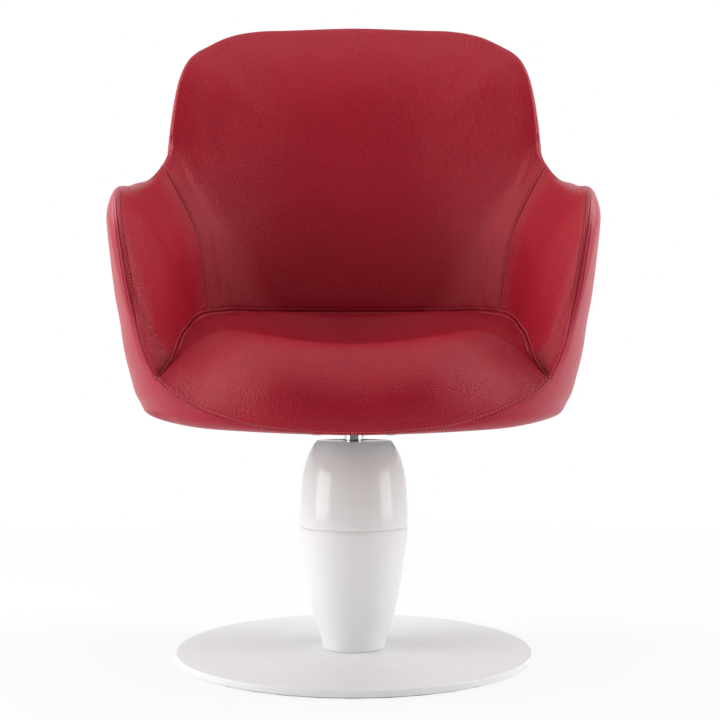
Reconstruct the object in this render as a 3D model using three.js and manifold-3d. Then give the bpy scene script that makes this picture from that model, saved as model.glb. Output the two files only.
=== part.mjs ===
// A tub armchair in leather on a turning post, with a vase-shaped pedestal and a round foot.
// Millimetres, +Z up. The floor is at zero, the swivel axis is Z, and the sitter faces -Y.
import * as THREE from "three";
import { mergeVertices } from "three/addons/utils/BufferGeometryUtils.js";
import Module from "manifold-3d";

const wasm = await Module();
wasm.setup();

// Clearances
const GAP = 0.3;
const SEAM_GAP = 0.5;
const TIP_GAP = 1.2;
const CUT_OVERRUN = 2;

// Tub, overall
const TUB_HALF_WIDTH = 337;
const FRONT_DEPTH = 366;
const REAR_DEPTH = 302;
const BACK_HEIGHT = 977;
const NOTCH_HEIGHT = 722;
const ARM_HEIGHT = 646;
const JUNCTION_HEIGHT = 388;
const LIP_HEIGHT = 322;
const FLOOR_HEIGHT = 320;
const SIDE_BOTTOM_HEIGHT = 345;
const REAR_BOTTOM_HEIGHT = 339;
const FLOOR_FLAT_MARGIN = 8;
const FRONT_CORNER_RADIUS = 28;
const SIDE_CORNER_RADIUS = 17;

// Tub, walls and rim
const ARM_THICKNESS = 86;
const BACK_THICKNESS = 70;
const ROLL_REACH = 100;
const RIM_DRAW_IN = 8;
const RIM_DRAW_HEIGHT = 44;
const RIM_CREST = 7;
const SHELL_EDGE_DROP = 16;
const FRONT_CORNER_RUN = 60;
const FRONT_WALL_RUN = 40;

// Seat
const SEAT_HEIGHT = 430;
const SEAT_DISH = 36;
const SEAT_DISH_WIDTH = 170;
const SEAT_REAR_RISE = 76;
const SEAT_REAR_RUN = 190;
const SEAT_REAR_START = 20;
const SEAT_SEAM_SIDE_HEIGHT = 464;
const SEAT_SEAM_REAR_HEIGHT = 499;
const SEAT_FRONT_SEAM_HEIGHT = 408;
const SEAT_FRONT_SHOULDER = 88;
const SEAT_SIDE_SHOULDER = 42;
const SEAT_FRONT_BULGE = 26;
const PANEL_TIP_HEIGHT = 14;

// Layers of the upholstery
const LEATHER_THICKNESS = 2;
const SHELL_THICKNESS = 8;
const BOARD_RADIUS = 150;
const BOARD_THICKNESS = 12;
const TUB_HOLE_RADIUS = 34;

// Mounting plate, hub and fasteners
const PLATE_RADIUS = 95;
const PLATE_THICKNESS = 5;
const HUB_RADIUS = 24;
const HUB_DROP = 6;
const HUB_TOP_GAP = 2;
const BOLT_CIRCLE_RADIUS = 72;
const BOLT_RADIUS = 4;
const BOLT_HOLE_RADIUS = 4.5;
const BOLT_HEAD_RADIUS = 7;
const BOLT_HEAD_HEIGHT = 4;
const BOLT_LENGTH = 24;
const NUT_BARREL_RADIUS = 6;
const NUT_FLANGE_RADIUS = 11;
const NUT_FLANGE_THICKNESS = 2;

// Foot
const BASE_RADIUS = 250;
const BASE_THICKNESS = 9;
const BASE_EDGE_RADIUS = 1;
const FLOOR_PAD_THICKNESS = 2;
const FLOOR_PAD_INSET = 6;
const SCREW_CIRCLE_RADIUS = 34;
const SCREW_RADIUS = 3;
const SCREW_HEAD_RADIUS = 6;
const SCREW_HEAD_HEIGHT = 3.2;
const SCREW_LENGTH = 15;

// Column
const FLANGE_THICKNESS = 8;
const TUBE_RADIUS = 25;
const TUBE_WALL = 2.5;
const SPINDLE_RADIUS = 14;
const SPINDLE_TAPER = 0.8;
const BUSH_LENGTH = 60;
const LOWER_BUSH_LENGTH = 30;
const LOWER_BUSH_RISE = 40;
const BUSH_FLANGE_THICKNESS = 3;
const RUNNING_CLEARANCE = 0.3;
const RING_RADIUS = 17;
const RING_THICKNESS = 2;
const RING_GROOVE_DEPTH = 1.5;

// Thrust bearing
const WASHER_RADIUS = 20;
const WASHER_THICKNESS = 2.5;
const BALL_RADIUS = 3;
const BALL_CIRCLE_RADIUS = 13.5;
const BALL_COUNT = 8;
const CAGE_RADIUS = 19;
const CAGE_INNER_RADIUS = 8;
const CAGE_THICKNESS = 2.4;

// Pedestal
const POST_SHOWING = 16.4;
const PEDESTAL_SPLIT = 182;
const PEDESTAL_MAX_RADIUS = 77;
const PEDESTAL_WALL = 3;
const PEDESTAL_SPIGOT = 10;
const PEDESTAL_TOP_RADIUS = 52;
const PEDESTAL_TOP_EDGE = 4;
const POST_HOLE_GAP = 2.5;

// Places that follow from the sizes above
const basePlateBottom = FLOOR_PAD_THICKNESS;
const basePlateTop = basePlateBottom + BASE_THICKNESS;
const flangeBottom = basePlateTop + GAP;
const flangeTop = flangeBottom + FLANGE_THICKNESS;
const washerBottom = flangeTop + GAP;
const ballBottom = washerBottom + WASHER_THICKNESS + GAP;
const upperWasherBottom = ballBottom + 2 * BALL_RADIUS + GAP;
const spindleBottom = upperWasherBottom + WASHER_THICKNESS + GAP;
const pedestalTop = FLOOR_HEIGHT - POST_SHOWING;
const coverTopUnderside = pedestalTop - PEDESTAL_WALL;
const bushFlangeTop = coverTopUnderside - GAP;
const tubeTop = bushFlangeTop - BUSH_FLANGE_THICKNESS - GAP;
const tubeInnerRadius = TUBE_RADIUS - TUBE_WALL;
const skinGap = LEATHER_THICKNESS + GAP;
const shellInner = skinGap + SHELL_THICKNESS;
const foamInset = shellInner + GAP;
const plateTop = FLOOR_HEIGHT + skinGap - GAP;
const plateBottom = plateTop - PLATE_THICKNESS;
const boardBottom = FLOOR_HEIGHT + foamInset;
const boardTop = boardBottom + BOARD_THICKNESS;
const foamBottom = boardTop + GAP;
const hubBottom = plateBottom - HUB_DROP;
const hubTop = boardTop - HUB_TOP_GAP;

// Materials
const paint = (color, roughness, metalness = 0) =>
  new THREE.MeshStandardMaterial({ color, roughness, metalness });
const redLeather = paint("#a52434", 0.45);
const redOuterLeather = paint("#b1404c", 0.4);
const foam = paint("#e8dfb8", 0.95);
const shellFoam = paint("#8f8a80", 0.8);
const plywood = paint("#c9a675", 0.7);
const blackCloth = paint("#1e1e20", 0.95);
const whiteGloss = paint("#efeeec", 0.12);
const whiteSatin = paint("#eeeeec", 0.45);
const whiteCoat = paint("#ececea", 0.5);
const chrome = paint("#d8dadd", 0.08, 1);
const steel = paint("#8c8f93", 0.4, 1);
const zinc = paint("#b4b6b8", 0.35, 1);
const acetal = paint("#e6e6e2", 0.4);
const felt = paint("#3a3a3c", 0.95);

// Curves through hand-chosen points

// Smooth value at x of a table of [x, value] rows that rises in x.
function along(rows, x) {
  const last = rows.length - 1;
  if (x <= rows[0][0]) return rows[0][1];
  if (x >= rows[last][0]) return rows[last][1];
  let i = 0;
  while (x > rows[i + 1][0]) i += 1;
  const slope = (k) => {
    if (k === 0 || k === last) return 0;
    const before = (rows[k][1] - rows[k - 1][1]) / (rows[k][0] - rows[k - 1][0]);
    const after = (rows[k + 1][1] - rows[k][1]) / (rows[k + 1][0] - rows[k][0]);
    return before * after <= 0 ? 0 : (2 * before * after) / (before + after);
  };
  const width = rows[i + 1][0] - rows[i][0];
  const u = (x - rows[i][0]) / width;
  const a = rows[i][1];
  const b = rows[i + 1][1];
  return (
    a * (1 + 2 * u) * (1 - u) ** 2 +
    b * u * u * (3 - 2 * u) +
    slope(i) * width * u * (1 - u) ** 2 -
    slope(i + 1) * width * u * u * (1 - u)
  );
}

const mix = (a, b, u) => a + (b - a) * u;
const ease = (u) => u * u * (3 - 2 * u);
const clamp01 = (u) => Math.min(Math.max(u, 0), 1);

// Outline of the pedestal: shares of its largest radius, by share of its height.
const pedestalShares = [
  [0, 0.575], [0.165, 0.745], [0.265, 0.83], [0.37, 0.89], [0.47, 0.95], [0.575, 0.995], [0.64, 1],
  [0.74, 0.98], [0.83, 0.95], [0.9, 0.9], [0.96, 0.82],
];
function pedestalRadius(z) {
  return PEDESTAL_MAX_RADIUS * along(pedestalShares, (z - basePlateTop) / (pedestalTop - basePlateTop));
}

// Outer wall of the tub

// Shares of the tub's half width, front depth and rear depth, by share of the back's height.
const widthShares = [
  [0.3234, 0.824], [0.3572, 0.852], [0.3808, 0.886], [0.3941, 0.8966], [0.4391, 0.9278],
  [0.4746, 0.942], [0.5097, 0.961], [0.5445, 0.9743], [0.5716, 0.9838], [0.5988, 0.9931],
  [0.6223, 0.998], [0.6551, 1], [0.6766, 0.998], [0.7354, 0.984], [1, 0.983],
];
const frontShares = [
  [0.3243, 0.855], [0.3586, 0.87], [0.396, 0.905], [0.4717, 0.965], [0.5699, 1], [1, 1],
];
const rearShares = [
  [0.3243, 0.75], [0.3537, 0.785], [0.4097, 0.82], [0.511, 0.865], [0.6682, 0.92], [1, 1],
];
const FRONT_EXPONENT_SHARE = 2.6;
const REAR_EXPONENT_SHARE = 2.5;

// Distance from the axis to the outer wall, in the direction of an angle, at a height.
function wallRadius(angle, z) {
  const share = z / BACK_HEIGHT;
  const across = Math.abs(Math.cos(angle)) / (TUB_HALF_WIDTH * along(widthShares, share));
  const rear = Math.sin(angle) > 0;
  const depth = rear ? REAR_DEPTH * along(rearShares, share) : FRONT_DEPTH * along(frontShares, share);
  const deep = Math.abs(Math.sin(angle)) / depth;
  const power = rear ? REAR_EXPONENT_SHARE : FRONT_EXPONENT_SHARE;
  return (across ** power + deep ** power) ** (-1 / power);
}

// How far the wall's normal leans from the direction out of the axis, as a cosine.
function wallLean(angle, z) {
  const step = 0.01;
  const rise = (wallRadius(angle + step, z) - wallRadius(angle - step, z)) / (2 * step);
  return 1 / Math.hypot(1, rise / wallRadius(angle, z));
}

// Rim of the tub: a closed seam that runs from the front lip up the arms and over the back.
// Each station is an angle in degrees from the right side, and the share of the way up its zone.
const rimStations = [
  [-90, "lip", 0], [-72, "lip", 0.1], [-62, "lip", 0.29], [-54, "lip", 0.54],
  [-45.5, "lip", 1], [-42.2, "arm", 0.125], [-39.4, "arm", 0.31], [-37.2, "arm", 0.5],
  [-35, "arm", 0.659], [-32, "arm", 0.82], [-27.5, "arm", 0.941], [-20, "arm", 1],
  [-6, "rest", 0.184], [8, "rest", 0.434], [17, "rest", 0.618], [24.6, "rest", 1],
  [28.8, "back", 0.137], [30.5, "back", 0.357], [33.2, "back", 0.584],
  [37, "back", 0.7255], [43, "back", 0.8255], [51, "back", 0.912], [63, "back", 0.9685],
  [90, "back", 1],
];
const zones = {
  lip: [LIP_HEIGHT, JUNCTION_HEIGHT],
  arm: [JUNCTION_HEIGHT, ARM_HEIGHT],
  rest: [ARM_HEIGHT, NOTCH_HEIGHT],
  back: [NOTCH_HEIGHT, BACK_HEIGHT],
};
const endOf = (name) => rimStations.findIndex(([, zone, share]) => zone === name && share === 1);
const JUNCTION = endOf("lip");
const TIP = JUNCTION - 1;
const NOTCH = endOf("rest");

// Height of the underside at its outer edge, and the radius of the corner there, by angle.
const bottomRows = [
  [-90, LIP_HEIGHT], [-57, mix(LIP_HEIGHT, SIDE_BOTTOM_HEIGHT, 0.22)],
  [-30, mix(LIP_HEIGHT, SIDE_BOTTOM_HEIGHT, 0.74)], [0, SIDE_BOTTOM_HEIGHT], [90, REAR_BOTTOM_HEIGHT],
];
const cornerRows = [
  [-90, FRONT_CORNER_RADIUS], [-57, mix(FRONT_CORNER_RADIUS, SIDE_CORNER_RADIUS, 0.2)],
  [-20, SIDE_CORNER_RADIUS], [90, SIDE_CORNER_RADIUS],
];

// How much the wall draws in below the rim, by angle.
const drawRows = [[-46, 0], [-36, RIM_DRAW_IN], [90, RIM_DRAW_IN]];

const radians = (degrees) => (degrees * Math.PI) / 180;

// A round piece meets the many-sided tub clear of its flats, this much further out.
const widestStep = Math.max(...rimStations.slice(1).map(([degrees], i) => degrees - rimStations[i][0]));
const clearOfFlats = (radius) => (radius + GAP) / Math.cos(radians(widestStep) / 2);
const boardPocketRadius = clearOfFlats(BOARD_RADIUS);
const floorFlatRadius = boardPocketRadius + FLOOR_FLAT_MARGIN;

// Section of the outer skin at a station, from the hole in the floor to the rim, as [radius, height].
function outerSection(degrees, rimHeight, edgeDrop) {
  const angle = radians(degrees);
  const bottom = along(bottomRows, degrees);
  const corner = along(cornerRows, degrees);
  const cornerTop = bottom + corner;
  const cornerStart = wallRadius(angle, cornerTop) - corner;
  const draw = along(drawRows, degrees);
  const path = [];
  const floorSteps = 24;
  for (let i = 0; i <= floorSteps; i += 1) {
    const u = i / floorSteps;
    const z = mix(FLOOR_HEIGHT, bottom, ease(u));
    path.push([mix(floorFlatRadius, cornerStart, u), z]);
  }
  const cornerSteps = 16;
  for (let i = 1; i <= cornerSteps; i += 1) {
    const turn = (i / cornerSteps) * (Math.PI / 2);
    const z = bottom + corner * (1 - Math.cos(turn));
    path.push([cornerStart + corner * Math.sin(turn), z]);
  }
  const wallSteps = 48;
  for (let i = 1; i <= wallSteps && rimHeight > cornerTop; i += 1) {
    const z = mix(cornerTop, rimHeight, i / wallSteps);
    const nearRim = clamp01(1 - (rimHeight - z) / RIM_DRAW_HEIGHT);
    path.push([wallRadius(angle, z) - draw * nearRim * nearRim, z]);
  }
  // Lengths along the path, cut at the rim.
  const lengths = [0];
  for (let i = 1; i < path.length; i += 1) {
    lengths.push(lengths[i - 1] + Math.hypot(path[i][0] - path[i - 1][0], path[i][1] - path[i - 1][1]));
  }
  const at = (length) => {
    let i = 1;
    while (i < path.length - 1 && lengths[i] < length) i += 1;
    const u = clamp01((length - lengths[i - 1]) / (lengths[i] - lengths[i - 1]));
    return [mix(path[i - 1][0], path[i][0], u), mix(path[i - 1][1], path[i][1], u)];
  };
  const cornerAt = lengths[floorSteps];
  const wallAt = lengths[floorSteps + cornerSteps];
  let rimAt = lengths[lengths.length - 1];
  if (rimHeight <= cornerTop) {
    const turn = Math.acos(clamp01(1 - (rimHeight - bottom) / corner));
    rimAt = cornerAt + corner * turn;
  }
  const start = Math.min(cornerAt, rimAt - FRONT_CORNER_RUN);
  const end = Math.min(wallAt, rimAt - FRONT_WALL_RUN);
  const edge = rimAt - edgeDrop;
  return [
    [TUB_HOLE_RADIUS, FLOOR_HEIGHT],
    [floorFlatRadius, FLOOR_HEIGHT],
    at(0.45 * start),
    at(start),
    at(mix(start, end, 0.33)),
    at(mix(start, end, 0.67)),
    at(end),
    at(mix(end, edge, 0.28)),
    at(mix(end, edge, 0.57)),
    at(mix(end, edge, 0.83)),
    at(edge),
    at(rimAt),
  ];
}
const FLOOR_EDGE_INDEX = 1;
const TUCK_INDEX = 2;
const CORNER_END = 6;
const SHELL_EDGE = 10;
const RIM_INDEX = 11;

const rimHeights = rimStations.map(([, zone, share]) => mix(zones[zone][0], zones[zone][1], share));
const STEEPEST_SHARE = 2.4;

// How much longer a way down from the rim is than its distance from the rim, where the rim is steep.
function steepness(index) {
  const [before, after] = [Math.max(index - 1, 0), Math.min(index + 1, rimStations.length - 1)];
  const turn = radians(rimStations[after][0] - rimStations[before][0]);
  const across = turn * wallRadius(radians(rimStations[index][0]), rimHeights[index]);
  return Math.min(Math.hypot(1, (rimHeights[after] - rimHeights[before]) / across), STEEPEST_SHARE);
}

// The stations of the right half, with their outer sections and rim points.
const stations = rimStations.map(([degrees], index) => {
  const rimHeight = rimHeights[index];
  const outer = outerSection(degrees, rimHeight, SHELL_EDGE_DROP * steepness(index));
  const angle = radians(degrees);
  const [r, z] = outer[RIM_INDEX];
  const point = new THREE.Vector3(r * Math.cos(angle), r * Math.sin(angle), z);
  return { degrees, angle, rimHeight, outer, point };
});

// The rim as a run of short chords on both sides, and how near a point is to it.
const rightRim = new THREE.CatmullRomCurve3(stations.map((s) => s.point)).getPoints(160);
const rimChords = [...rightRim, ...rightRim.map((p) => new THREE.Vector3(-p.x, p.y, p.z)).reverse()];
function rimDistance(point) {
  let best = Infinity;
  const nearest = new THREE.Vector3();
  for (let i = 1; i < rimChords.length; i += 1) {
    const chord = new THREE.Line3(rimChords[i - 1], rimChords[i]);
    chord.closestPointToPoint(point, true, nearest);
    best = Math.min(best, nearest.distanceTo(point));
  }
  return best;
}

// Wall thickness well below the rim, by height.
const thicknessRows = [
  [0.4913 * BACK_HEIGHT, ARM_THICKNESS], [0.845 * BACK_HEIGHT, BACK_THICKNESS],
];

// Fullness of the rolled rim: under 1 it is rounder than a sine.
const ROLL_FULLNESS_SHARE = 0.75;

// Point on the inner face of the wall at a station and height, as [radius, height].
function innerWall(station, seam, z) {
  const { angle, rimHeight } = station;
  const draw = along(drawRows, station.degrees);
  const nearRim = clamp01(1 - (rimHeight - z) / RIM_DRAW_HEIGHT);
  const r = wallRadius(angle, z) - draw * nearRim * nearRim;
  const point = new THREE.Vector3(r * Math.cos(angle), r * Math.sin(angle), z);
  const near = clamp01(rimDistance(point) / ROLL_REACH);
  const grown = Math.sin((near * Math.PI) / 2) ** ROLL_FULLNESS_SHARE;
  const lift = RIM_CREST * clamp01((rimHeight - seam) / ROLL_REACH);
  const rise = lift * Math.sin(Math.PI * Math.sqrt(clamp01(grown * 1.6)));
  return [r - (grown * along(thicknessRows, z)) / wallLean(angle, z), z + Math.max(rise, 0)];
}

// Height of the seam between seat and wall, by angle.
const seamRows = [
  [-45.5, JUNCTION_HEIGHT - PANEL_TIP_HEIGHT],
  [-39, SEAT_FRONT_SEAM_HEIGHT],
  [-33, mix(SEAT_FRONT_SEAM_HEIGHT, SEAT_SEAM_SIDE_HEIGHT, 0.24)],
  [-18.7, mix(SEAT_FRONT_SEAM_HEIGHT, SEAT_SEAM_SIDE_HEIGHT, 0.7)],
  [0, SEAT_SEAM_SIDE_HEIGHT],
  [24.6, mix(SEAT_SEAM_SIDE_HEIGHT, SEAT_SEAM_REAR_HEIGHT, 0.82)],
  [40, SEAT_SEAM_REAR_HEIGHT],
  [90, SEAT_SEAM_REAR_HEIGHT],
];

// Height of the seat away from its seams: dished across, and rising into the back.
function seatHeight(x, y) {
  const side = Math.min(Math.abs(x) / SEAT_DISH_WIDTH, 1.25);
  const rear = Math.max((y + SEAT_REAR_START) / SEAT_REAR_RUN, 0);
  return SEAT_HEIGHT + SEAT_DISH * side * side * (1 - 0.25 * side) + SEAT_REAR_RISE * rear ** 2.2;
}

// Shoulder width and outward bulge of the seat at its edge, by angle.
const shoulderRows = [
  [-90, SEAT_FRONT_SHOULDER], [-60, SEAT_FRONT_SHOULDER],
  [-40, mix(SEAT_SIDE_SHOULDER, SEAT_FRONT_SHOULDER, 0.6)], [-20, SEAT_SIDE_SHOULDER],
  [90, SEAT_SIDE_SHOULDER],
];
const bulgeRows = [[-90, SEAT_FRONT_BULGE], [-74, SEAT_FRONT_BULGE], [-49, 0], [90, 0]];

// Section of the seat from its edge to the axis, as [radius, height].
const shoulderShares = [0.2, 0.5, 1];
const seatShares = [0.66, 0.33, 0];
function seatSection(station, edge) {
  const { degrees, angle } = station;
  const shoulder = along(shoulderRows, degrees);
  const bulge = along(bulgeRows, degrees);
  const height = (r) => seatHeight(r * Math.cos(angle), r * Math.sin(angle));
  const inner = edge[0] - shoulder;
  const top = height(inner);
  const slope = (height(inner + 1e-3 * shoulder) - top) / (1e-3 * shoulder);
  const reach = 0.55 * shoulder;
  const curve = new THREE.CubicBezierCurve(
    new THREE.Vector2(edge[0], edge[1]),
    new THREE.Vector2(edge[0] + bulge, mix(edge[1], top, 0.5)),
    new THREE.Vector2(inner + reach, top + slope * reach),
    new THREE.Vector2(inner, top),
  );
  const points = shoulderShares.map((u) => curve.getPoint(u).toArray());
  for (const u of seatShares) points.push([inner * u, height(inner * u)]);
  return points;
}

// Full sections: outer skin up to the rim, then the wall's inner face where there is one, then the seat.
const wallShares = [0.05, 0.15, 0.32, 0.6, 1];
for (const [index, station] of stations.entries()) {
  station.wall = [];
  if (index >= JUNCTION) {
    const seam = Math.min(along(seamRows, station.degrees), station.rimHeight - PANEL_TIP_HEIGHT);
    const tall = clamp01((station.rimHeight - seam) / ROLL_REACH - 0.3);
    for (const [k, share] of wallShares.entries()) {
      const u = mix((k + 1) / wallShares.length, share, tall);
      station.wall.push(innerWall(station, seam, mix(station.rimHeight, seam, u)));
    }
  }
  const edge = station.wall.length ? station.wall[station.wall.length - 1] : station.outer[RIM_INDEX];
  station.seat = seatSection(station, edge);
  station.line = [...station.outer, ...station.wall, ...station.seat];
  station.seatStart = RIM_INDEX + station.wall.length;
  station.walled = index > JUNCTION;
}

// A section's point set in by a distance, with mitred corners, as [radius, height, row].
// The row says where a point lies along the section and in depth, and gives facing skins like facets.
function sideNormal(p, q) {
  const length = Math.hypot(q[0] - p[0], q[1] - p[1]);
  return [-(q[1] - p[1]) / length, (q[0] - p[0]) / length];
}
function inset(line, k, distance) {
  const normals = [];
  if (k > 0) normals.push(sideNormal(line[k - 1], line[k]));
  if (k < line.length - 1) normals.push(sideNormal(line[k], line[k + 1]));
  if (normals.length === 1) normals.push(normals[0]);
  const [a, b] = normals;
  const scale = distance / Math.max(1 + a[0] * b[0] + a[1] * b[1], 0.5);
  const row = k + distance / (distance + SHELL_EDGE_DROP) / 2;
  return [line[k][0] + (a[0] + b[0]) * scale, line[k][1] + (a[1] + b[1]) * scale, row];
}
function slide(point, towards, distance) {
  const length = Math.hypot(towards[0] - point[0], towards[1] - point[1]);
  return [
    point[0] + ((towards[0] - point[0]) / length) * distance,
    point[1] + ((towards[1] - point[1]) / length) * distance,
    point[2],
  ];
}

// A strip of a section from one index to another, at a depth, drawn back at each end by half a seam gap.
function strip(line, first, last, depth) {
  const points = [];
  for (let k = first; k <= last; k += 1) points.push(inset(line, k, depth));
  const n = points.length;
  const start = slide(points[0], points[1], SEAM_GAP / 2);
  const end = slide(points[n - 1], points[n - 2], SEAM_GAP / 2);
  points[0] = start;
  points[n - 1] = end;
  return points;
}

// Solids from sections

// A station's section set in space at an angle, moved round the axis by a distance.
function place(station, section, angle, around = 0) {
  const flat = section(station);
  const points = flat.map(([r, z]) => [
    r * Math.cos(angle) - around * Math.sin(angle),
    r * Math.sin(angle) + around * Math.cos(angle),
    z,
  ]);
  return { points, rows: flat.map((point) => point[2]), order: stations.indexOf(station) };
}

function meshFrom(positions, faces) {
  const geometry = new THREE.BufferGeometry();
  geometry.setAttribute("position", new THREE.Float32BufferAttribute(positions.flat(), 3));
  let volume = 0;
  const [a, b, c] = [new THREE.Vector3(), new THREE.Vector3(), new THREE.Vector3()];
  for (const [i, j, k] of faces) {
    volume += a.fromArray(positions[i]).dot(b.fromArray(positions[j]).cross(c.fromArray(positions[k])));
  }
  const ordered = volume < 0 ? faces.map(([i, j, k]) => [i, k, j]) : faces;
  geometry.setIndex(ordered.flat());
  geometry.computeVertexNormals();
  return geometry;
}

// Two facets between neighbouring sections, split so that layers lie on each other facet to facet.
function quad(here, next, i, j, at) {
  const [a, b, c, d] = [at(here, i), at(next, i), at(next, j), at(here, j)];
  const alongRows = here.rows[j] > here.rows[i];
  const alongOrder = next.order > here.order;
  return alongRows === alongOrder ? [[a, b, c], [a, c, d]] : [[a, b, d], [b, c, d]];
}

// A solid skinned over closed sections. Round: the last section joins the first. Else both ends are capped.
function skin(sections, round) {
  const n = sections[0].points.length;
  const starts = new Map(sections.map((section, s) => [section, s * n]));
  const at = (section, i) => starts.get(section) + i;
  const faces = [];
  const spans = round ? sections.length : sections.length - 1;
  for (let s = 0; s < spans; s += 1) {
    const [here, next] = [sections[s], sections[(s + 1) % sections.length]];
    for (let i = 0; i < n; i += 1) faces.push(...quad(here, next, i, (i + 1) % n, at));
  }
  if (!round) {
    for (const [section, far] of [[sections[0], false], [sections[sections.length - 1], true]]) {
      const flat = section.points.map(([x, y, z]) => new THREE.Vector2(Math.hypot(x, y), z));
      const clockwise = THREE.ShapeUtils.isClockWise(flat);
      for (const [i, j, k] of THREE.ShapeUtils.triangulateShape(flat, [])) {
        const face = [at(section, i), at(section, j), at(section, k)];
        const alike = THREE.ShapeUtils.isClockWise([flat[i], flat[j], flat[k]]) === clockwise;
        faces.push(alike === far ? face.reverse() : face);
      }
    }
  }
  return meshFrom(sections.map(({ points }) => points).flat(), faces);
}

// A solid skinned over open sections that all run from one point on the axis to another.
function skinToAxis(sections) {
  const n = sections[0].points.length;
  const starts = new Map(sections.map((section, s) => [section, s * (n - 2) - 1]));
  const at = (section, i) => starts.get(section) + i;
  const positions = sections.map(({ points }) => points.slice(1, -1)).flat();
  const low = positions.length;
  positions.push(sections[0].points[0], sections[0].points[n - 1]);
  const faces = [];
  for (const [s, here] of sections.entries()) {
    const next = sections[(s + 1) % sections.length];
    faces.push([low, at(next, 1), at(here, 1)], [low + 1, at(here, n - 2), at(next, n - 2)]);
    for (let i = 1; i < n - 2; i += 1) faces.push(...quad(here, next, i, i + 1, at));
  }
  return meshFrom(positions, faces);
}

// The same piece on the other side of the chair.
function mirrored(geometry) {
  const other = geometry.clone();
  const position = other.getAttribute("position");
  for (let i = 0; i < position.count; i += 1) position.setX(i, -position.getX(i));
  const order = other.getIndex();
  for (let i = 0; i < order.count; i += 3) {
    const second = order.getX(i + 1);
    order.setX(i + 1, order.getX(i + 2));
    order.setX(i + 2, second);
  }
  other.computeVertexNormals();
  return other;
}

// Every station all round: up the right side from the front, and back down the left side.
const allRound = [
  ...stations.map((station) => [station, station.angle]),
  ...stations.slice(1, -1).reverse().map((station) => [station, Math.PI - station.angle]),
];
const ring = (section) => allRound.map(([station, angle]) => place(station, section, angle));

// A run of places, with half a gap left at each end where another panel meets it.
function run(places, section) {
  const last = places.length - 1;
  return places.map(([station, angle], i) => {
    let around = 0;
    if (i === 0 && (station === stations[0] || station === stations[NOTCH])) around = GAP / 2;
    if (i === last) around = -GAP / 2;
    return place(station, section, angle, around);
  });
}
const rightRun = (first, section) => run(allRound.slice(first, NOTCH + 1), section);
const backRun = (section) => run(allRound.slice(NOTCH, allRound.length - NOTCH + 1), section);

// Leather of the outside, turned under the tub and tucked there.
function outerCoverSection({ line }) {
  return [
    ...strip(line, TUCK_INDEX, RIM_INDEX, 0),
    ...strip(line, TUCK_INDEX, RIM_INDEX, LEATHER_THICKNESS).reverse(),
  ];
}

// Leather of the inside of the wall, from the rim to the seat seam.
function wallCoverSection({ line, seatStart }) {
  return [
    ...strip(line, RIM_INDEX, seatStart, 0),
    ...strip(line, RIM_INDEX, seatStart, LEATHER_THICKNESS).reverse(),
  ];
}

// Sharp end of an arm's inside panel, where the seams of the rim and the seat meet.
function tipSection({ line }) {
  const outside = slide(inset(line, RIM_INDEX, 0), line[RIM_INDEX + 1], TIP_GAP / 2);
  const inside = slide(inset(line, RIM_INDEX, LEATHER_THICKNESS), inset(line, RIM_INDEX + 1, LEATHER_THICKNESS), TIP_GAP / 2);
  const rows = stations[JUNCTION].seatStart - RIM_INDEX + 1;
  return [...Array(rows).fill(outside), ...Array(rows).fill(inside)];
}

// Structural shell between the two skins, open in the middle of its floor.
function shellSection({ line }) {
  const outside = [];
  const inside = [];
  for (let k = 0; k <= SHELL_EDGE; k += 1) {
    outside.push(inset(line, k, skinGap));
    inside.push(inset(line, k, shellInner));
  }
  return [...outside, ...inside.reverse()];
}

// Foam passes the shell's edge at a depth, a gap above it.
function pastShellEdge(line, depth) {
  const point = inset(line, SHELL_EDGE, depth);
  const [edge, rim] = [line[SHELL_EDGE], line[RIM_INDEX]];
  return slide(point, [point[0] + rim[0] - edge[0], point[1] + rim[1] - edge[1]], GAP);
}

// The straight parting between seat foam and wall foam, from the shell up to the seam.
const partingShares = [0.33, 0.67];
function parting(foot, seam) {
  return partingShares.map((u) => [mix(foot[0], seam[0], u), mix(foot[1], seam[1], u), CORNER_END + u]);
}

// Foam of the wall: it fills what the shell leaves, and wraps over the shell's edge.
function wallFoamSection({ line, seatStart }) {
  const foot = slide(
    inset(line, CORNER_END, foamInset), inset(line, CORNER_END + 1, foamInset), GAP / 2,
  );
  const seam = slide(inset(line, seatStart, skinGap), inset(line, seatStart - 1, skinGap), GAP / 2);
  const points = [foot];
  for (let k = CORNER_END + 1; k < SHELL_EDGE; k += 1) points.push(inset(line, k, foamInset));
  points.push(pastShellEdge(line, foamInset), pastShellEdge(line, skinGap));
  for (let k = RIM_INDEX; k < seatStart; k += 1) points.push(inset(line, k, skinGap));
  return [...points, seam, ...parting(foot, seam).reverse()];
}

// Foam of the seat, from the axis below to the axis above.
function seatFoamSection({ line, walled, seatStart }) {
  const floor = FLOOR_HEIGHT + foamInset;
  const points = [[0, foamBottom, -3], [boardPocketRadius, foamBottom, -2], [boardPocketRadius, floor, -1]];
  for (let k = TUCK_INDEX; k < CORNER_END; k += 1) points.push(inset(line, k, foamInset));
  const foot = inset(line, CORNER_END, foamInset);
  const seam = inset(line, seatStart, skinGap);
  if (walled) {
    const footEnd = slide(foot, inset(line, CORNER_END - 1, foamInset), GAP / 2);
    const seamEnd = slide(seam, inset(line, seatStart + 1, skinGap), GAP / 2);
    points.push(footEnd, ...parting(footEnd, seamEnd), seamEnd);
  } else {
    // The shell's edge climbs here, so the foam stays inside it up to the seam.
    points.push(foot, inset(line, CORNER_END + 1, foamInset), pastShellEdge(line, foamInset), seam);
  }
  for (let k = seatStart + 1; k < line.length - 1; k += 1) points.push(inset(line, k, skinGap));
  const last = line.length - 1;
  return [...points, [0, line[last][1] - skinGap, last]];
}

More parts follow.
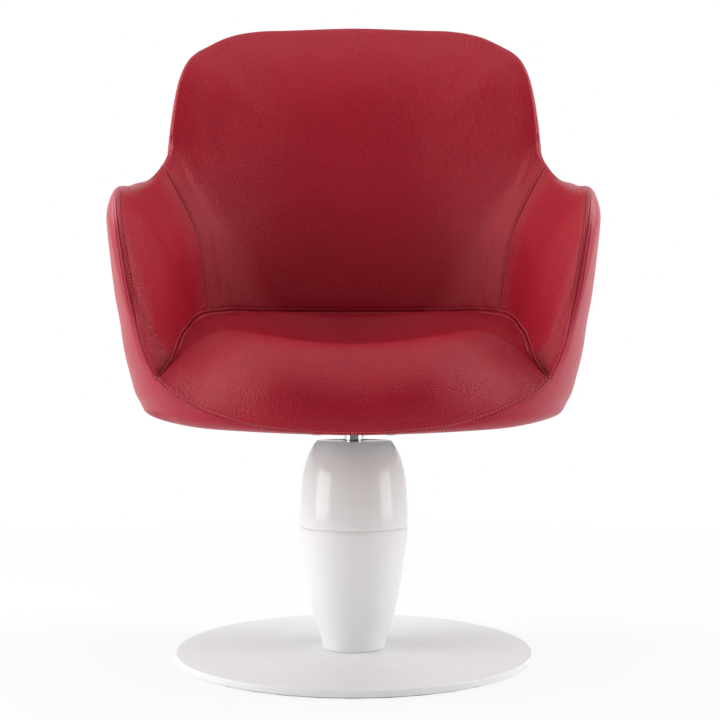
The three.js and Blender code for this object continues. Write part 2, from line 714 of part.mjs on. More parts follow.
// Leather of the seat, from the axis above it to the axis under it.
function seatCoverSection(station) {
  const { line, seatStart } = station;
  const edgeGap = station === stations[TIP] ? TIP_GAP : SEAM_GAP / 2;
  const last = line.length - 1;
  const top = [];
  const under = [];
  for (let k = seatStart; k < last; k += 1) {
    top.push(inset(line, k, 0));
    under.push(inset(line, k, LEATHER_THICKNESS));
  }
  top[0] = slide(top[0], top[1], edgeGap);
  under[0] = slide(under[0], under[1], edgeGap);
  const crown = line[last][1];
  return [[0, crown, last], ...top.reverse(), ...under, [0, crown - LEATHER_THICKNESS, last]];
}

// Cloth under the tub, between the mounting plate and the tucked leather.
function undersideSection({ line }) {
  const inner = clearOfFlats(PLATE_RADIUS);
  const layer = (depth) => {
    const flat = inset(line, FLOOR_EDGE_INDEX, depth);
    return [[inner, FLOOR_HEIGHT + depth, 0], flat, slide(inset(line, TUCK_INDEX, depth), flat, GAP / 2)];
  };
  return [...layer(0), ...layer(LEATHER_THICKNESS).reverse()];
}

// Round pieces

const ROUND_SIDES = 36;
const INNER_SIDES = 24;
const SMALL_SIDES = 10;

// A turned solid from a closed outline of [radius, height] points.
function turned(outline, sides = ROUND_SIDES) {
  const closed = [...outline, outline[0]];
  const points = closed.map(([r, z]) => new THREE.Vector2(r, z));
  return new THREE.LatheGeometry(points, sides).rotateX(Math.PI / 2);
}
const washer = (inner, outer, low, high, sides) =>
  turned([[inner, low], [outer, low], [outer, high], [inner, high]], sides);
const disc = (radius, low, high, sides) => washer(0, radius, low, high, sides);

function toSolid(geometry) {
  const plain = geometry.clone();
  plain.deleteAttribute("normal");
  plain.deleteAttribute("uv");
  const merged = mergeVertices(plain, 1e-4);
  const solid = new wasm.Manifold(
    new wasm.Mesh({
      numProp: 3,
      vertProperties: merged.getAttribute("position").array,
      triVerts: new Uint32Array(merged.getIndex().array),
    }),
  );
  if (solid.volume() >= 0) return solid;
  const order = new Uint32Array(merged.getIndex().array);
  for (let i = 0; i < order.length; i += 3) [order[i + 1], order[i + 2]] = [order[i + 2], order[i + 1]];
  return new wasm.Manifold(
    new wasm.Mesh({ numProp: 3, vertProperties: merged.getAttribute("position").array, triVerts: order }),
  );
}
function fromSolid(solid) {
  const mesh = solid.getMesh();
  const geometry = new THREE.BufferGeometry();
  const positions = [];
  for (let i = 0; i < mesh.numVert; i += 1) {
    for (let j = 0; j < 3; j += 1) positions.push(mesh.vertProperties[i * mesh.numProp + j]);
  }
  geometry.setAttribute("position", new THREE.Float32BufferAttribute(positions, 3));
  geometry.setIndex(Array.from(mesh.triVerts));
  geometry.computeVertexNormals();
  return geometry;
}
function cut(geometry, tools) {
  return fromSolid(tools.reduce((solid, tool) => solid.subtract(toSolid(tool)), toSolid(geometry)));
}

// Places on a circle round the axis, turned off the X axis by half a step.
function circlePlaces(count, radius) {
  return Array.from({ length: count }, (_, i) => {
    const angle = ((i + 0.5) * 2 * Math.PI) / count;
    return [radius * Math.cos(angle), radius * Math.sin(angle)];
  });
}
const moved = (geometry, [x, y]) => geometry.clone().translate(x, y, 0);

// The chair

const chair = new THREE.Group();
function add(name, geometry, material) {
  const mesh = new THREE.Mesh(geometry, material);
  mesh.name = name;
  chair.add(mesh);
}

// Foot
function addFoot() {
  const places = circlePlaces(4, SCREW_CIRCLE_RADIUS);
  add("floor_pad", disc(BASE_RADIUS - FLOOR_PAD_INSET, 0, basePlateBottom - GAP, ROUND_SIDES), felt);
  const edge = BASE_EDGE_RADIUS;
  const outline = [
    [0, basePlateBottom], [BASE_RADIUS - edge, basePlateBottom], [BASE_RADIUS, basePlateBottom + edge],
    [BASE_RADIUS, basePlateTop - edge], [BASE_RADIUS - edge, basePlateTop], [0, basePlateTop],
  ];
  const headTop = basePlateBottom + SCREW_HEAD_HEIGHT;
  const hole = turned(
    [
      [0, basePlateBottom - CUT_OVERRUN], [SCREW_HEAD_RADIUS + GAP, basePlateBottom - CUT_OVERRUN],
      [SCREW_HEAD_RADIUS + GAP, basePlateBottom + GAP], [SCREW_RADIUS + GAP, headTop + GAP],
      [SCREW_RADIUS + GAP, basePlateTop + CUT_OVERRUN], [0, basePlateTop + CUT_OVERRUN],
    ],
    SMALL_SIDES,
  );
  add("base_plate", cut(turned(outline, 2 * ROUND_SIDES), places.map((p) => moved(hole, p))), whiteCoat);
  const screw = turned(
    [
      [0, basePlateBottom], [SCREW_HEAD_RADIUS, basePlateBottom], [SCREW_RADIUS, headTop],
      [SCREW_RADIUS, basePlateBottom + SCREW_LENGTH], [0, basePlateBottom + SCREW_LENGTH],
    ],
    SMALL_SIDES,
  );
  places.forEach((place, i) => add(`base_screw_${i + 1}`, moved(screw, place), zinc));
}

// Fixed column with its bushes
function addColumn() {
  const bore = disc(
    SCREW_RADIUS + GAP, flangeBottom - CUT_OVERRUN, flangeTop + CUT_OVERRUN, SMALL_SIDES,
  );
  const places = circlePlaces(4, SCREW_CIRCLE_RADIUS);
  const flangeRadius = pedestalRadius(flangeBottom) - PEDESTAL_WALL - GAP;
  const flange = cut(disc(flangeRadius, flangeBottom, flangeTop), places.map((p) => moved(bore, p)));
  add("column_flange", flange, steel);
  const tube = washer(tubeInnerRadius, TUBE_RADIUS, flangeTop + GAP, tubeTop, INNER_SIDES);
  add("column_tube", tube, steel);
  const bushInner = SPINDLE_RADIUS + RUNNING_CLEARANCE;
  const bushOuter = tubeInnerRadius - GAP;
  const lowerBushBottom = spindleBottom + LOWER_BUSH_RISE;
  add(
    "lower_bush",
    washer(bushInner, bushOuter, lowerBushBottom, lowerBushBottom + LOWER_BUSH_LENGTH, INNER_SIDES),
    acetal,
  );
  const flangeLow = tubeTop + GAP;
  const upper = [
    [bushInner, tubeTop - BUSH_LENGTH], [bushOuter, tubeTop - BUSH_LENGTH], [bushOuter, flangeLow],
    [TUBE_RADIUS, flangeLow], [TUBE_RADIUS, bushFlangeTop], [bushInner, bushFlangeTop],
  ];
  add("upper_bush", turned(upper, INNER_SIDES), acetal);
}

// Thrust bearing that carries the spindle
function addBearing() {
  const bore = CAGE_INNER_RADIUS;
  const race = (low) => washer(bore, WASHER_RADIUS, low, low + WASHER_THICKNESS, INNER_SIDES);
  add("thrust_washer_lower", race(washerBottom), steel);
  add("thrust_washer_upper", race(upperWasherBottom), steel);
  const middle = ballBottom + BALL_RADIUS;
  const cage = washer(
    CAGE_INNER_RADIUS, CAGE_RADIUS, middle - CAGE_THICKNESS / 2, middle + CAGE_THICKNESS / 2,
    INNER_SIDES,
  );
  const pocketHalf = CAGE_THICKNESS / 2 + CUT_OVERRUN;
  const pocket = disc(BALL_RADIUS + GAP, middle - pocketHalf, middle + pocketHalf, SMALL_SIDES);
  const places = circlePlaces(BALL_COUNT, BALL_CIRCLE_RADIUS);
  add("ball_cage", cut(cage, places.map((p) => moved(pocket, p))), acetal);
  const ball = new THREE.SphereGeometry(BALL_RADIUS, 8, 6).rotateX(Math.PI / 2).translate(0, 0, middle);
  places.forEach((place, i) => add(`bearing_ball_${i + 1}`, moved(ball, place), chrome));
}

// Turning post
function addSpindle() {
  const ringTop = spindleBottom + LOWER_BUSH_RISE - GAP;
  const ringLow = ringTop - RING_THICKNESS;
  const neck = SPINDLE_RADIUS - RING_GROOVE_DEPTH;
  const top = hubTop;
  const outline = [
    [0, spindleBottom], [SPINDLE_RADIUS, spindleBottom], [SPINDLE_RADIUS, ringLow - GAP],
    [neck, ringLow - GAP], [neck, ringTop + GAP / 2], [SPINDLE_RADIUS, ringTop + GAP / 2],
    [SPINDLE_RADIUS, hubBottom], [SPINDLE_RADIUS - SPINDLE_TAPER, top], [0, top],
  ];
  add("spindle", turned(outline, INNER_SIDES), chrome);
  add("retaining_ring", washer(neck + GAP, RING_RADIUS, ringLow, ringTop, INNER_SIDES), steel);
}

// Pedestal, in two turned halves that plug together
function addPedestal() {
  const bottom = basePlateTop + GAP;
  const between = (low, high, inset) => {
    const steps = inset ? 4 : 8;
    return Array.from({ length: steps + 1 }, (_, i) => {
      const z = mix(low, high, i / steps);
      return [pedestalRadius(z) - inset, z];
    });
  };
  const spigotBottom = PEDESTAL_SPLIT - PEDESTAL_SPIGOT;
  const socketRadius = pedestalRadius(spigotBottom) - PEDESTAL_WALL;
  const lower = [
    ...between(bottom, PEDESTAL_SPLIT, 0),
    [socketRadius, PEDESTAL_SPLIT],
    ...between(bottom, spigotBottom, PEDESTAL_WALL).reverse(),
  ];
  add("pedestal_lower_cover", turned(lower), whiteSatin);
  const low = PEDESTAL_SPLIT + GAP;
  const ledge = low + PEDESTAL_WALL;
  const spigotRadius = socketRadius - GAP;
  const holeRadius = SPINDLE_RADIUS + POST_HOLE_GAP;
  const edge = PEDESTAL_TOP_EDGE;
  const upper = [
    [spigotRadius, spigotBottom],
    [spigotRadius, low],
    ...between(low, pedestalTop - edge, 0),
    [PEDESTAL_TOP_RADIUS, pedestalTop],
    [holeRadius, pedestalTop],
    [holeRadius, coverTopUnderside],
    [PEDESTAL_TOP_RADIUS - PEDESTAL_WALL, coverTopUnderside],
    ...between(ledge, coverTopUnderside - edge, PEDESTAL_WALL).reverse(),
    [spigotRadius - PEDESTAL_WALL, ledge],
    [spigotRadius - PEDESTAL_WALL, spigotBottom],
  ];
  add("pedestal_upper_cover", turned(upper), whiteGloss);
}

// Plate and hub under the tub
function addMounting() {
  const places = circlePlaces(4, BOLT_CIRCLE_RADIUS);
  const plate = washer(HUB_RADIUS + GAP, PLATE_RADIUS, plateBottom, plateTop);
  const hole = disc(BOLT_HOLE_RADIUS, plateBottom - CUT_OVERRUN, plateTop + CUT_OVERRUN, SMALL_SIDES);
  add("mounting_plate", cut(plate, places.map((p) => moved(hole, p))), steel);
  const boreLow = SPINDLE_RADIUS + GAP;
  const hub = [
    [boreLow, hubBottom], [HUB_RADIUS, hubBottom], [HUB_RADIUS, hubTop],
    [boreLow - SPINDLE_TAPER, hubTop],
  ];
  add("seat_hub", turned(hub, INNER_SIDES), steel);
  const headTop = plateBottom - GAP;
  const bolt = turned(
    [
      [0, headTop - BOLT_HEAD_HEIGHT], [BOLT_HEAD_RADIUS, headTop - BOLT_HEAD_HEIGHT],
      [BOLT_HEAD_RADIUS, headTop], [BOLT_RADIUS, headTop], [BOLT_RADIUS, headTop + BOLT_LENGTH],
      [0, headTop + BOLT_LENGTH],
    ],
    SMALL_SIDES,
  );
  places.forEach((place, i) => add(`seat_bolt_${i + 1}`, moved(bolt, place), zinc));
  const barrelLow = boardBottom;
  const nut = turned(
    [
      [BOLT_RADIUS + GAP, barrelLow], [NUT_BARREL_RADIUS, barrelLow],
      [NUT_BARREL_RADIUS, boardTop - NUT_FLANGE_THICKNESS], [NUT_FLANGE_RADIUS, boardTop - NUT_FLANGE_THICKNESS],
      [NUT_FLANGE_RADIUS, boardTop], [BOLT_RADIUS + GAP, boardTop],
    ],
    SMALL_SIDES,
  );
  places.forEach((place, i) => add(`insert_nut_${i + 1}`, moved(nut, place), zinc));
  const board = washer(TUB_HOLE_RADIUS, BOARD_RADIUS, boardBottom, boardTop);
  const pocketLow = boardTop - NUT_FLANGE_THICKNESS - GAP;
  const pocket = turned(
    [
      [0, boardBottom - CUT_OVERRUN], [NUT_BARREL_RADIUS + GAP, boardBottom - CUT_OVERRUN],
      [NUT_BARREL_RADIUS + GAP, pocketLow], [NUT_FLANGE_RADIUS + GAP, pocketLow],
      [NUT_FLANGE_RADIUS + GAP, boardTop + CUT_OVERRUN], [0, boardTop + CUT_OVERRUN],
    ],
    SMALL_SIDES,
  );
  add("seat_board", cut(board, places.map((p) => moved(pocket, p))), plywood);
}

// Tub: shell, foam and leather
function addTub() {
  const places = circlePlaces(4, BOLT_CIRCLE_RADIUS);
  const shellLow = FLOOR_HEIGHT + skinGap;
  const hole = disc(
    BOLT_HOLE_RADIUS, shellLow - CUT_OVERRUN, shellLow + SHELL_THICKNESS + CUT_OVERRUN, SMALL_SIDES,
  );
  add("tub_shell", cut(skin(ring(shellSection), true), places.map((p) => moved(hole, p))), shellFoam);
  add("seat_foam", skinToAxis(ring(seatFoamSection)), foam);
  add("seat_cover", skinToAxis(ring(seatCoverSection)), redLeather);
  const armFoam = skin(rightRun(JUNCTION + 1, wallFoamSection), false);
  add("right_arm_foam", armFoam, foam);
  add("left_arm_foam", mirrored(armFoam), foam);
  add("back_foam", skin(backRun(wallFoamSection), false), foam);
  const tip = stations[TIP];
  const armCover = skin([place(tip, tipSection, tip.angle), ...rightRun(JUNCTION, wallCoverSection)], false);
  add("right_arm_cover", armCover, redLeather);
  add("left_arm_cover", mirrored(armCover), redLeather);
  add("back_cover", skin(backRun(wallCoverSection), false), redLeather);
  const sideCover = skin(rightRun(0, outerCoverSection), false);
  add("outer_cover_right", sideCover, redOuterLeather);
  add("outer_cover_left", mirrored(sideCover), redOuterLeather);
  add("outer_cover_back", skin(backRun(outerCoverSection), false), redOuterLeather);
  add("underside_cover", skin(ring(undersideSection), true), blackCloth);
}

addFoot();
addColumn();
addBearing();
addSpindle();
addPedestal();
addMounting();
addTub();

export default chair;
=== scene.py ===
import math
import bpy
import bmesh
import numpy as np
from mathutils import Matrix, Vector
from mathutils.bvhtree import BVHTree
from mathutils.kdtree import KDTree


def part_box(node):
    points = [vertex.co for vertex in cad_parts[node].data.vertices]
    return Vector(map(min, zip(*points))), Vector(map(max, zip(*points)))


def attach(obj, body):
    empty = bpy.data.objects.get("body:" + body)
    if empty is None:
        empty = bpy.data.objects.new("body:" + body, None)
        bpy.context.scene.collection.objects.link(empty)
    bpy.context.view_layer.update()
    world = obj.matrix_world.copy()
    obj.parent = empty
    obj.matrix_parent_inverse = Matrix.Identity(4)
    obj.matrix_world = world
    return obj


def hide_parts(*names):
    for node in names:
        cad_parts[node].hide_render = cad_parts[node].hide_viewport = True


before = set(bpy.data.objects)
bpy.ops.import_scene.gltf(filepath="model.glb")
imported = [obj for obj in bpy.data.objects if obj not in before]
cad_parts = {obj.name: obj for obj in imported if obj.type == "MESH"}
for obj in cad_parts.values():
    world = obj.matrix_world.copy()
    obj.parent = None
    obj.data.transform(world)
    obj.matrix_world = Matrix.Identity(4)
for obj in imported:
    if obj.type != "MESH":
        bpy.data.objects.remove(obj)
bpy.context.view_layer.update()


# The room: a white floor that runs out of sight, a tall soft box at each side, a smaller one high
# up on each side, and a large one overhead. The camera has a 60 mm lens and stands straight in
# front, a little below the height of the seat. Nothing here is part of the chair.

LENS = 60
SENSOR = 36
IMAGE_SIZE = 720
HORIZON_PIXEL = 390
CAMERA_DISTANCE = 1.7125
CAMERA_HEIGHT = 0.375
CAMERA_ASIDE = 0.0086
CAMERA_TILT = math.atan((HORIZON_PIXEL - IMAGE_SIZE / 2) / (IMAGE_SIZE * LENS / SENSOR))
ROOM_LIGHT = 0.16
OPEN_SIDE = 0.12
FLOOR_SIZE = 30

camera_data = bpy.data.cameras.new("camera")
camera_data.lens = LENS
camera_data.sensor_width = SENSOR
camera = bpy.data.objects.new("camera", camera_data)
camera.location = (CAMERA_ASIDE, -CAMERA_DISTANCE, CAMERA_HEIGHT)
camera.rotation_euler = (math.pi / 2 + CAMERA_TILT, 0, 0)
bpy.context.scene.collection.objects.link(camera)
bpy.context.scene.camera = camera
bpy.context.scene.view_settings.view_transform = "Standard"


def linear(code):
    """sRGB hex to the linear colour that a shader takes."""
    parts = [int(code[i:i + 2], 16) / 255 for i in (1, 3, 5)]
    return tuple(c / 12.92 if c <= 0.04045 else ((c + 0.055) / 1.055) ** 2.4 for c in parts) + (1.0,)


def node(tree, kind, inputs=None, **settings):
    """Adds a node to a tree. inputs maps a socket's name or index to a value or to an output to link."""
    made = tree.nodes.new(kind)
    for key, value in settings.items():
        setattr(made, key, value)
    for key, value in (inputs or {}).items():
        socket = made.inputs[key]
        if isinstance(value, bpy.types.NodeSocket):
            tree.links.new(value, socket)
        else:
            socket.default_value = value
    return made


def soft_box(name, place, aim, size, power):
    """A rectangular lamp that points at a spot."""
    data = bpy.data.lights.new(name, "AREA")
    data.shape = "RECTANGLE"
    data.size, data.size_y = size
    data.energy = power
    lamp = bpy.data.objects.new(name, data)
    lamp.location = place
    lamp.rotation_euler = (Vector(aim) - Vector(place)).to_track_quat("-Z", "Y").to_euler()
    bpy.context.scene.collection.objects.link(lamp)


soft_box("overhead_box", (0.0, 0.15, 2.6), (0, 0, 0.4), (3.0, 2.2), 22)
soft_box("high_left_box", (-1.6, 0.35, 1.8), (0, 0, 0.5), (0.6, 1.2), 18)
soft_box("high_right_box", (1.6, 0.35, 1.8), (0, 0, 0.5), (0.6, 1.2), 20)
soft_box("left_box", (-2.2, -0.8, 0.95), (0, 0, 0.5), (1.5, 2.0), 42)
soft_box("right_box", (2.3, -0.7, 0.95), (0, 0, 0.5), (1.3, 2.0), 31)

white = linear("#ffffff")


def smooth_change(tree, value, start, end, low, high):
    """Goes smoothly from low to high as a value goes from start to end."""
    return node(tree, "ShaderNodeMapRange", {"Value": value, "From Min": start, "From Max": end,
                                             "To Min": low, "To Max": high},
                interpolation_type="SMOOTHSTEP").outputs[0]


def seen_straight(tree, rays):
    """1 where the camera looks straight at it or through something clear, and 0 elsewhere."""
    return node(tree, "ShaderNodeMath",
                {0: rays.outputs["Is Camera Ray"], 1: rays.outputs["Is Transmission Ray"]},
                operation="MAXIMUM").outputs[0]


def white_room():
    """White to the camera, and a dim even light on the chair. What the chair mirrors is white walls
    behind and beside it, in a room that is open and dim above, and where the camera stands."""
    room = bpy.data.worlds.new("white_room")
    room.use_nodes = True
    tree = room.node_tree
    tree.nodes.clear()
    rays = node(tree, "ShaderNodeLightPath")
    dim = node(tree, "ShaderNodeBackground", {"Color": white, "Strength": ROOM_LIGHT})
    full = node(tree, "ShaderNodeBackground", {"Color": white, "Strength": 1.0})
    way = node(tree, "ShaderNodeTexCoord")
    axes = node(tree, "ShaderNodeSeparateXYZ", {"Vector": way.outputs["Generated"]})
    behind = smooth_change(tree, axes.outputs["Y"], -0.4, 0.3, 0.0, 1.0)
    below = smooth_change(tree, axes.outputs["Z"], 0.45, 0.85, 1.0, 0.0)
    both = node(tree, "ShaderNodeMath", {0: behind, 1: below}, operation="MULTIPLY")
    wall = node(tree, "ShaderNodeMath", {0: both.outputs[0], 1: 1 - OPEN_SIDE, 2: OPEN_SIDE},
                operation="MULTIPLY_ADD")
    walls = node(tree, "ShaderNodeBackground", {"Color": white, "Strength": wall.outputs[0]})
    mirrored = node(tree, "ShaderNodeMixShader", {
        0: rays.outputs["Is Glossy Ray"], 1: dim.outputs[0], 2: walls.outputs[0]})
    either = node(tree, "ShaderNodeMixShader", {
        0: seen_straight(tree, rays), 1: mirrored.outputs[0], 2: full.outputs[0]})
    node(tree, "ShaderNodeOutputWorld", {"Surface": either.outputs[0]})
    return room


def new_material(name):
    """A material and its tree, which holds no node yet."""
    material = bpy.data.materials.new(name)
    material.use_nodes = True
    material.node_tree.nodes.clear()
    return material, material.node_tree


def white_ground():
    """Matt white that takes the chair's shadow near the foot, and is plain white from two metres out.
    Mirrored, it is dim on the open side of the room, in front."""
    material, tree = new_material("white_floor")
    rays = node(tree, "ShaderNodeLightPath")
    place = node(tree, "ShaderNodeTexCoord").outputs["Object"]
    axes = node(tree, "ShaderNodeSeparateXYZ", {"Vector": place})
    front = smooth_change(tree, axes.outputs["Y"], -1.6, 0.0, 0.25, 1.0)
    level = node(tree, "ShaderNodeMix", {"Factor": rays.outputs["Is Glossy Ray"], "A": 1.0, "B": front},
                 data_type="FLOAT")
    matt = node(tree, "ShaderNodeBsdfDiffuse", {"Color": linear("#f4f4f4")})
    glow = node(tree, "ShaderNodeEmission", {"Color": white, "Strength": level.outputs["Result"]})
    seen = node(tree, "ShaderNodeMath", {0: seen_straight(tree, rays), 1: rays.outputs["Is Glossy Ray"]},
                operation="MAXIMUM")
    away = node(tree, "ShaderNodeVectorMath", {0: place}, operation="LENGTH")
    bright = smooth_change(tree, away.outputs["Value"], 0.3, 1.9, 0.8, 1.0)
    share = node(tree, "ShaderNodeMath", {0: seen.outputs[0], 1: bright}, operation="MULTIPLY")
    shade = node(tree, "ShaderNodeMixShader", {0: share.outputs[0], 1: matt.outputs[0], 2: glow.outputs[0]})
    node(tree, "ShaderNodeOutputMaterial", {"Surface": shade.outputs[0]})
    return material


bpy.context.scene.world = white_room()
bpy.ops.mesh.primitive_plane_add(size=FLOOR_SIZE, location=(0, 0, 0))
floor = bpy.context.object
floor.name = "floor"
floor.data.materials.append(white_ground())


# Foot: a steel disc 500 mm across, powder-coated white with a fine orange-peel texture and a
# softly rounded edge, on a felt pad. Four countersunk screws hold the column's flange to it.

FOOT_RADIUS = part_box("base_plate")[1].x
FOOT_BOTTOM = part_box("base_plate")[0].z
FOOT_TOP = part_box("base_plate")[1].z
FOOT_EDGE = 0.0016
FILLET_POINTS = 5


def object_coordinates(tree):
    """Object coordinates in millimetres."""
    place = node(tree, "ShaderNodeTexCoord")
    return node(tree, "ShaderNodeVectorMath", {0: place.outputs["Object"], "Scale": 1000.0},
                operation="SCALE").outputs[0]


def finish_of(name, colour, roughness, grit, bump, metallic=0.0, wear=0.04, fuzz=0.0):
    """A surface with a faint uneven tone, roughness and relief. grit is the relief's size in mm."""
    material, tree = new_material(name)
    place = object_coordinates(tree)
    cloud = node(tree, "ShaderNodeTexNoise", {"Vector": place, "Scale": 1 / 40, "Detail": 3.0})
    grain = node(tree, "ShaderNodeTexNoise", {"Vector": place, "Scale": 1 / grit, "Detail": 2.0})
    tone = node(tree, "ShaderNodeMapRange", {"Value": cloud.outputs["Fac"], "From Min": 0.3, "From Max": 0.7,
                                             "To Min": 1 - wear, "To Max": 1.0})
    paint = node(tree, "ShaderNodeVectorMath", {0: linear(colour)[:3], "Scale": tone.outputs[0]},
                 operation="SCALE")
    rough = node(tree, "ShaderNodeMapRange", {"Value": grain.outputs["Fac"], "From Min": 0.3, "From Max": 0.7,
                                              "To Min": roughness * 0.9, "To Max": min(roughness * 1.1, 1.0)})
    relief = node(tree, "ShaderNodeBump", {"Height": grain.outputs["Fac"], "Strength": bump,
                                           "Distance": grit * 0.0003})
    surface = node(tree, "ShaderNodeBsdfPrincipled", {
        "Base Color": paint.outputs[0], "Roughness": rough.outputs[0], "Metallic": metallic, "IOR": 1.45,
        "Normal": relief.outputs[0], "Sheen Weight": fuzz})
    node(tree, "ShaderNodeOutputMaterial", {"Surface": surface.outputs[0]})
    return material


def mesh_object(name, points, faces, material):
    """A smooth-shaded object at the origin."""
    mesh = bpy.data.meshes.new(name)
    mesh.from_pydata([tuple(p) for p in points], [], [tuple(f) for f in faces])
    mesh.validate()
    mesh.polygons.foreach_set("use_smooth", [True] * len(mesh.polygons))
    made = bpy.data.objects.new(name, mesh)
    bpy.context.scene.collection.objects.link(made)
    made.data.materials.append(material)
    return made


def rounded(corners):
    """Outline of [radius, height, fillet] corners, each corner turned into a small arc."""
    outline = []
    count = len(corners)
    for i, (r, z, fillet) in enumerate(corners):
        here = np.array([r, z])
        if fillet == 0:
            outline.append(here)
            continue
        before = np.array(corners[i - 1][:2]) - here
        after = np.array(corners[(i + 1) % count][:2]) - here
        before = before / np.linalg.norm(before)
        after = after / np.linalg.norm(after)
        for t in np.linspace(0, 1, FILLET_POINTS):
            outline.append(here + fillet * (before * (1 - t) ** 2 + after * t ** 2))
    return outline


def face_outwards(made, merge=0.0):
    """Turns the faces of a closed mesh outwards, once points closer than merge are one."""
    shape = bmesh.new()
    shape.from_mesh(made.data)
    if merge:
        bmesh.ops.remove_doubles(shape, verts=shape.verts, dist=merge)
        bmesh.ops.dissolve_degenerate(shape, edges=shape.edges, dist=1e-7)
    bmesh.ops.recalc_face_normals(shape, faces=shape.faces)
    shape.to_mesh(made.data)
    shape.free()


def turned(name, outline, material, sides=160, closed=True):
    """A turned solid: the outline goes round the Z axis. Points on the axis are shared."""
    points, faces, rows = [], [], []
    for r, z in outline:
        if r < 1e-9:
            rows.append([len(points)] * sides)
            points.append((0, 0, z))
        else:
            rows.append(list(range(len(points), len(points) + sides)))
            for a in np.arange(sides) * 2 * math.pi / sides:
                points.append((r * math.cos(a), r * math.sin(a), z))
    last = len(rows) if closed else len(rows) - 1
    for i in range(last):
        low, high = rows[i], rows[(i + 1) % len(rows)]
        for k in range(sides):
            m = (k + 1) % sides
            ring = list(dict.fromkeys([low[k], low[m], high[m], high[k]]))
            if len(ring) > 2:
                faces.append(ring)
    made = mesh_object(name, points, faces, material)
    face_outwards(made)
    return made


# Polyester powder coat: white, satin, very slightly pebbled.
powder_coat = finish_of("white_powder_coat", "#ecefef", 0.42, grit=1.1, bump=0.14, wear=0.015)
foot = turned("foot_disc", rounded([
    (0, FOOT_BOTTOM, 0), (FOOT_RADIUS, FOOT_BOTTOM, FOOT_EDGE), (FOOT_RADIUS, FOOT_TOP, FOOT_EDGE),
    (0, FOOT_TOP, 0)]), powder_coat, sides=256, closed=False)
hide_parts("base_plate")
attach(foot, "base")

# Pressed wool felt under the foot, and zinc-plated screws.
felt = finish_of("pressed_wool_felt", "#3a3a3c", 0.95, grit=1.5, bump=0.7, wear=0.2, fuzz=0.4)
zinc = finish_of("bright_zinc_plate", "#b8bbbd", 0.32, metallic=1.0, grit=0.8, bump=0.05, wear=0.1)


def dress(names, material):
    """Gives carried-over nodes their finish."""
    for name in names:
        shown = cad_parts[name]
        shown.data.materials.clear()
        shown.data.materials.append(material)


dress(["floor_pad"], felt)
dress([f"base_screw_{i}" for i in range(1, 5)], zinc)


# Column: a steel tube on a turned flange, hidden in the pedestal. Two acetal bushes in it guide
# the post, and a thrust bearing of eight balls in an acetal cage carries it.

turned_steel = finish_of("turned_steel", "#8e9195", 0.35, metallic=1.0, grit=0.4, bump=0.1, wear=0.12)
acetal = finish_of("natural_acetal", "#e8e7e2", 0.4, grit=0.5, bump=0.05, wear=0.03)
bearing_steel = finish_of("polished_bearing_steel", "#c9ccd0", 0.12, metallic=1.0, grit=0.3, bump=0.02)
dress(["column_flange", "column_tube", "thrust_washer_lower", "thrust_washer_upper", "retaining_ring"],
      turned_steel)
dress(["lower_bush", "upper_bush", "ball_cage"], acetal)
dress([f"bearing_ball_{i}" for i in range(1, 9)], bearing_steel)


# Pedestal: two thin shells of lacquered white plastic that stand round the column and plug together
# 182 mm up. The lower one is satin, and the upper one gloss, with a flat, bevelled top that the post
# comes out of.


def along(rows, x):
    """Smooth value at x of a table of [x, value] rows that rises in x."""
    xs, ys = np.array(rows, float).T
    x = np.clip(x, xs[0], xs[-1])
    i = np.clip(np.searchsorted(xs, x, side="right") - 1, 0, len(xs) - 2)
    chord = np.diff(ys) / np.diff(xs)
    before, after = chord[:-1], chord[1:]
    same = before * after > 0
    slope = np.zeros(len(xs))
    slope[1:-1][same] = 2 * before[same] * after[same] / (before + after)[same]
    width = xs[i + 1] - xs[i]
    u = (x - xs[i]) / width
    return (ys[i] * (1 + 2 * u) * (1 - u) ** 2 + ys[i + 1] * u * u * (3 - 2 * u)
            + slope[i] * width * u * (1 - u) ** 2 - slope[i + 1] * width * u * u * (1 - u))


PEDESTAL_RADIUS = 0.077
PEDESTAL_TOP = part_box("pedestal_upper_cover")[1].z
PEDESTAL_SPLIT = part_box("pedestal_lower_cover")[1].z
PEDESTAL_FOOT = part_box("pedestal_lower_cover")[0].z
PEDESTAL_WALL = 0.003
PEDESTAL_SPIGOT = 0.010
TOP_FACE_RADIUS = 0.0515
TOP_EDGE = 0.0012
POST_HOLE = 0.0165
JOINT_BEVEL = 0.0004
JOINT_GAP = 0.0003
HOLE_BEVEL = 0.0008
EDGE_START = 0.001
# Rows of height and radius, as shares of the pedestal's height and of its greatest radius.
pedestal_rows = [[0, 0.575], [0.165, 0.745], [0.265, 0.83], [0.37, 0.89], [0.47, 0.95], [0.575, 0.995],
                 [0.64, 1], [0.74, 0.98], [0.83, 0.95], [0.9, 0.885], [0.95, 0.81], [0.985, 0.735], [1, 0.69]]


def pedestal_radius(z):
    """Radius of the pedestal's face at a height."""
    return PEDESTAL_RADIUS * along(pedestal_rows, (z - FOOT_TOP) / (PEDESTAL_TOP - FOOT_TOP))


def pedestal_side(low, high, inset, steps=28):
    """The pedestal's outline between two heights, set in from its face."""
    return [(pedestal_radius(z) - inset, z) for z in np.linspace(low, high, steps)]


satin_white = finish_of("satin_white_lacquer", "#eceeed", 0.38, grit=0.9, bump=0.05, wear=0.012)
gloss_white = finish_of("gloss_white_lacquer", "#eceeed", 0.13, grit=6.0, bump=0.03, wear=0.012)

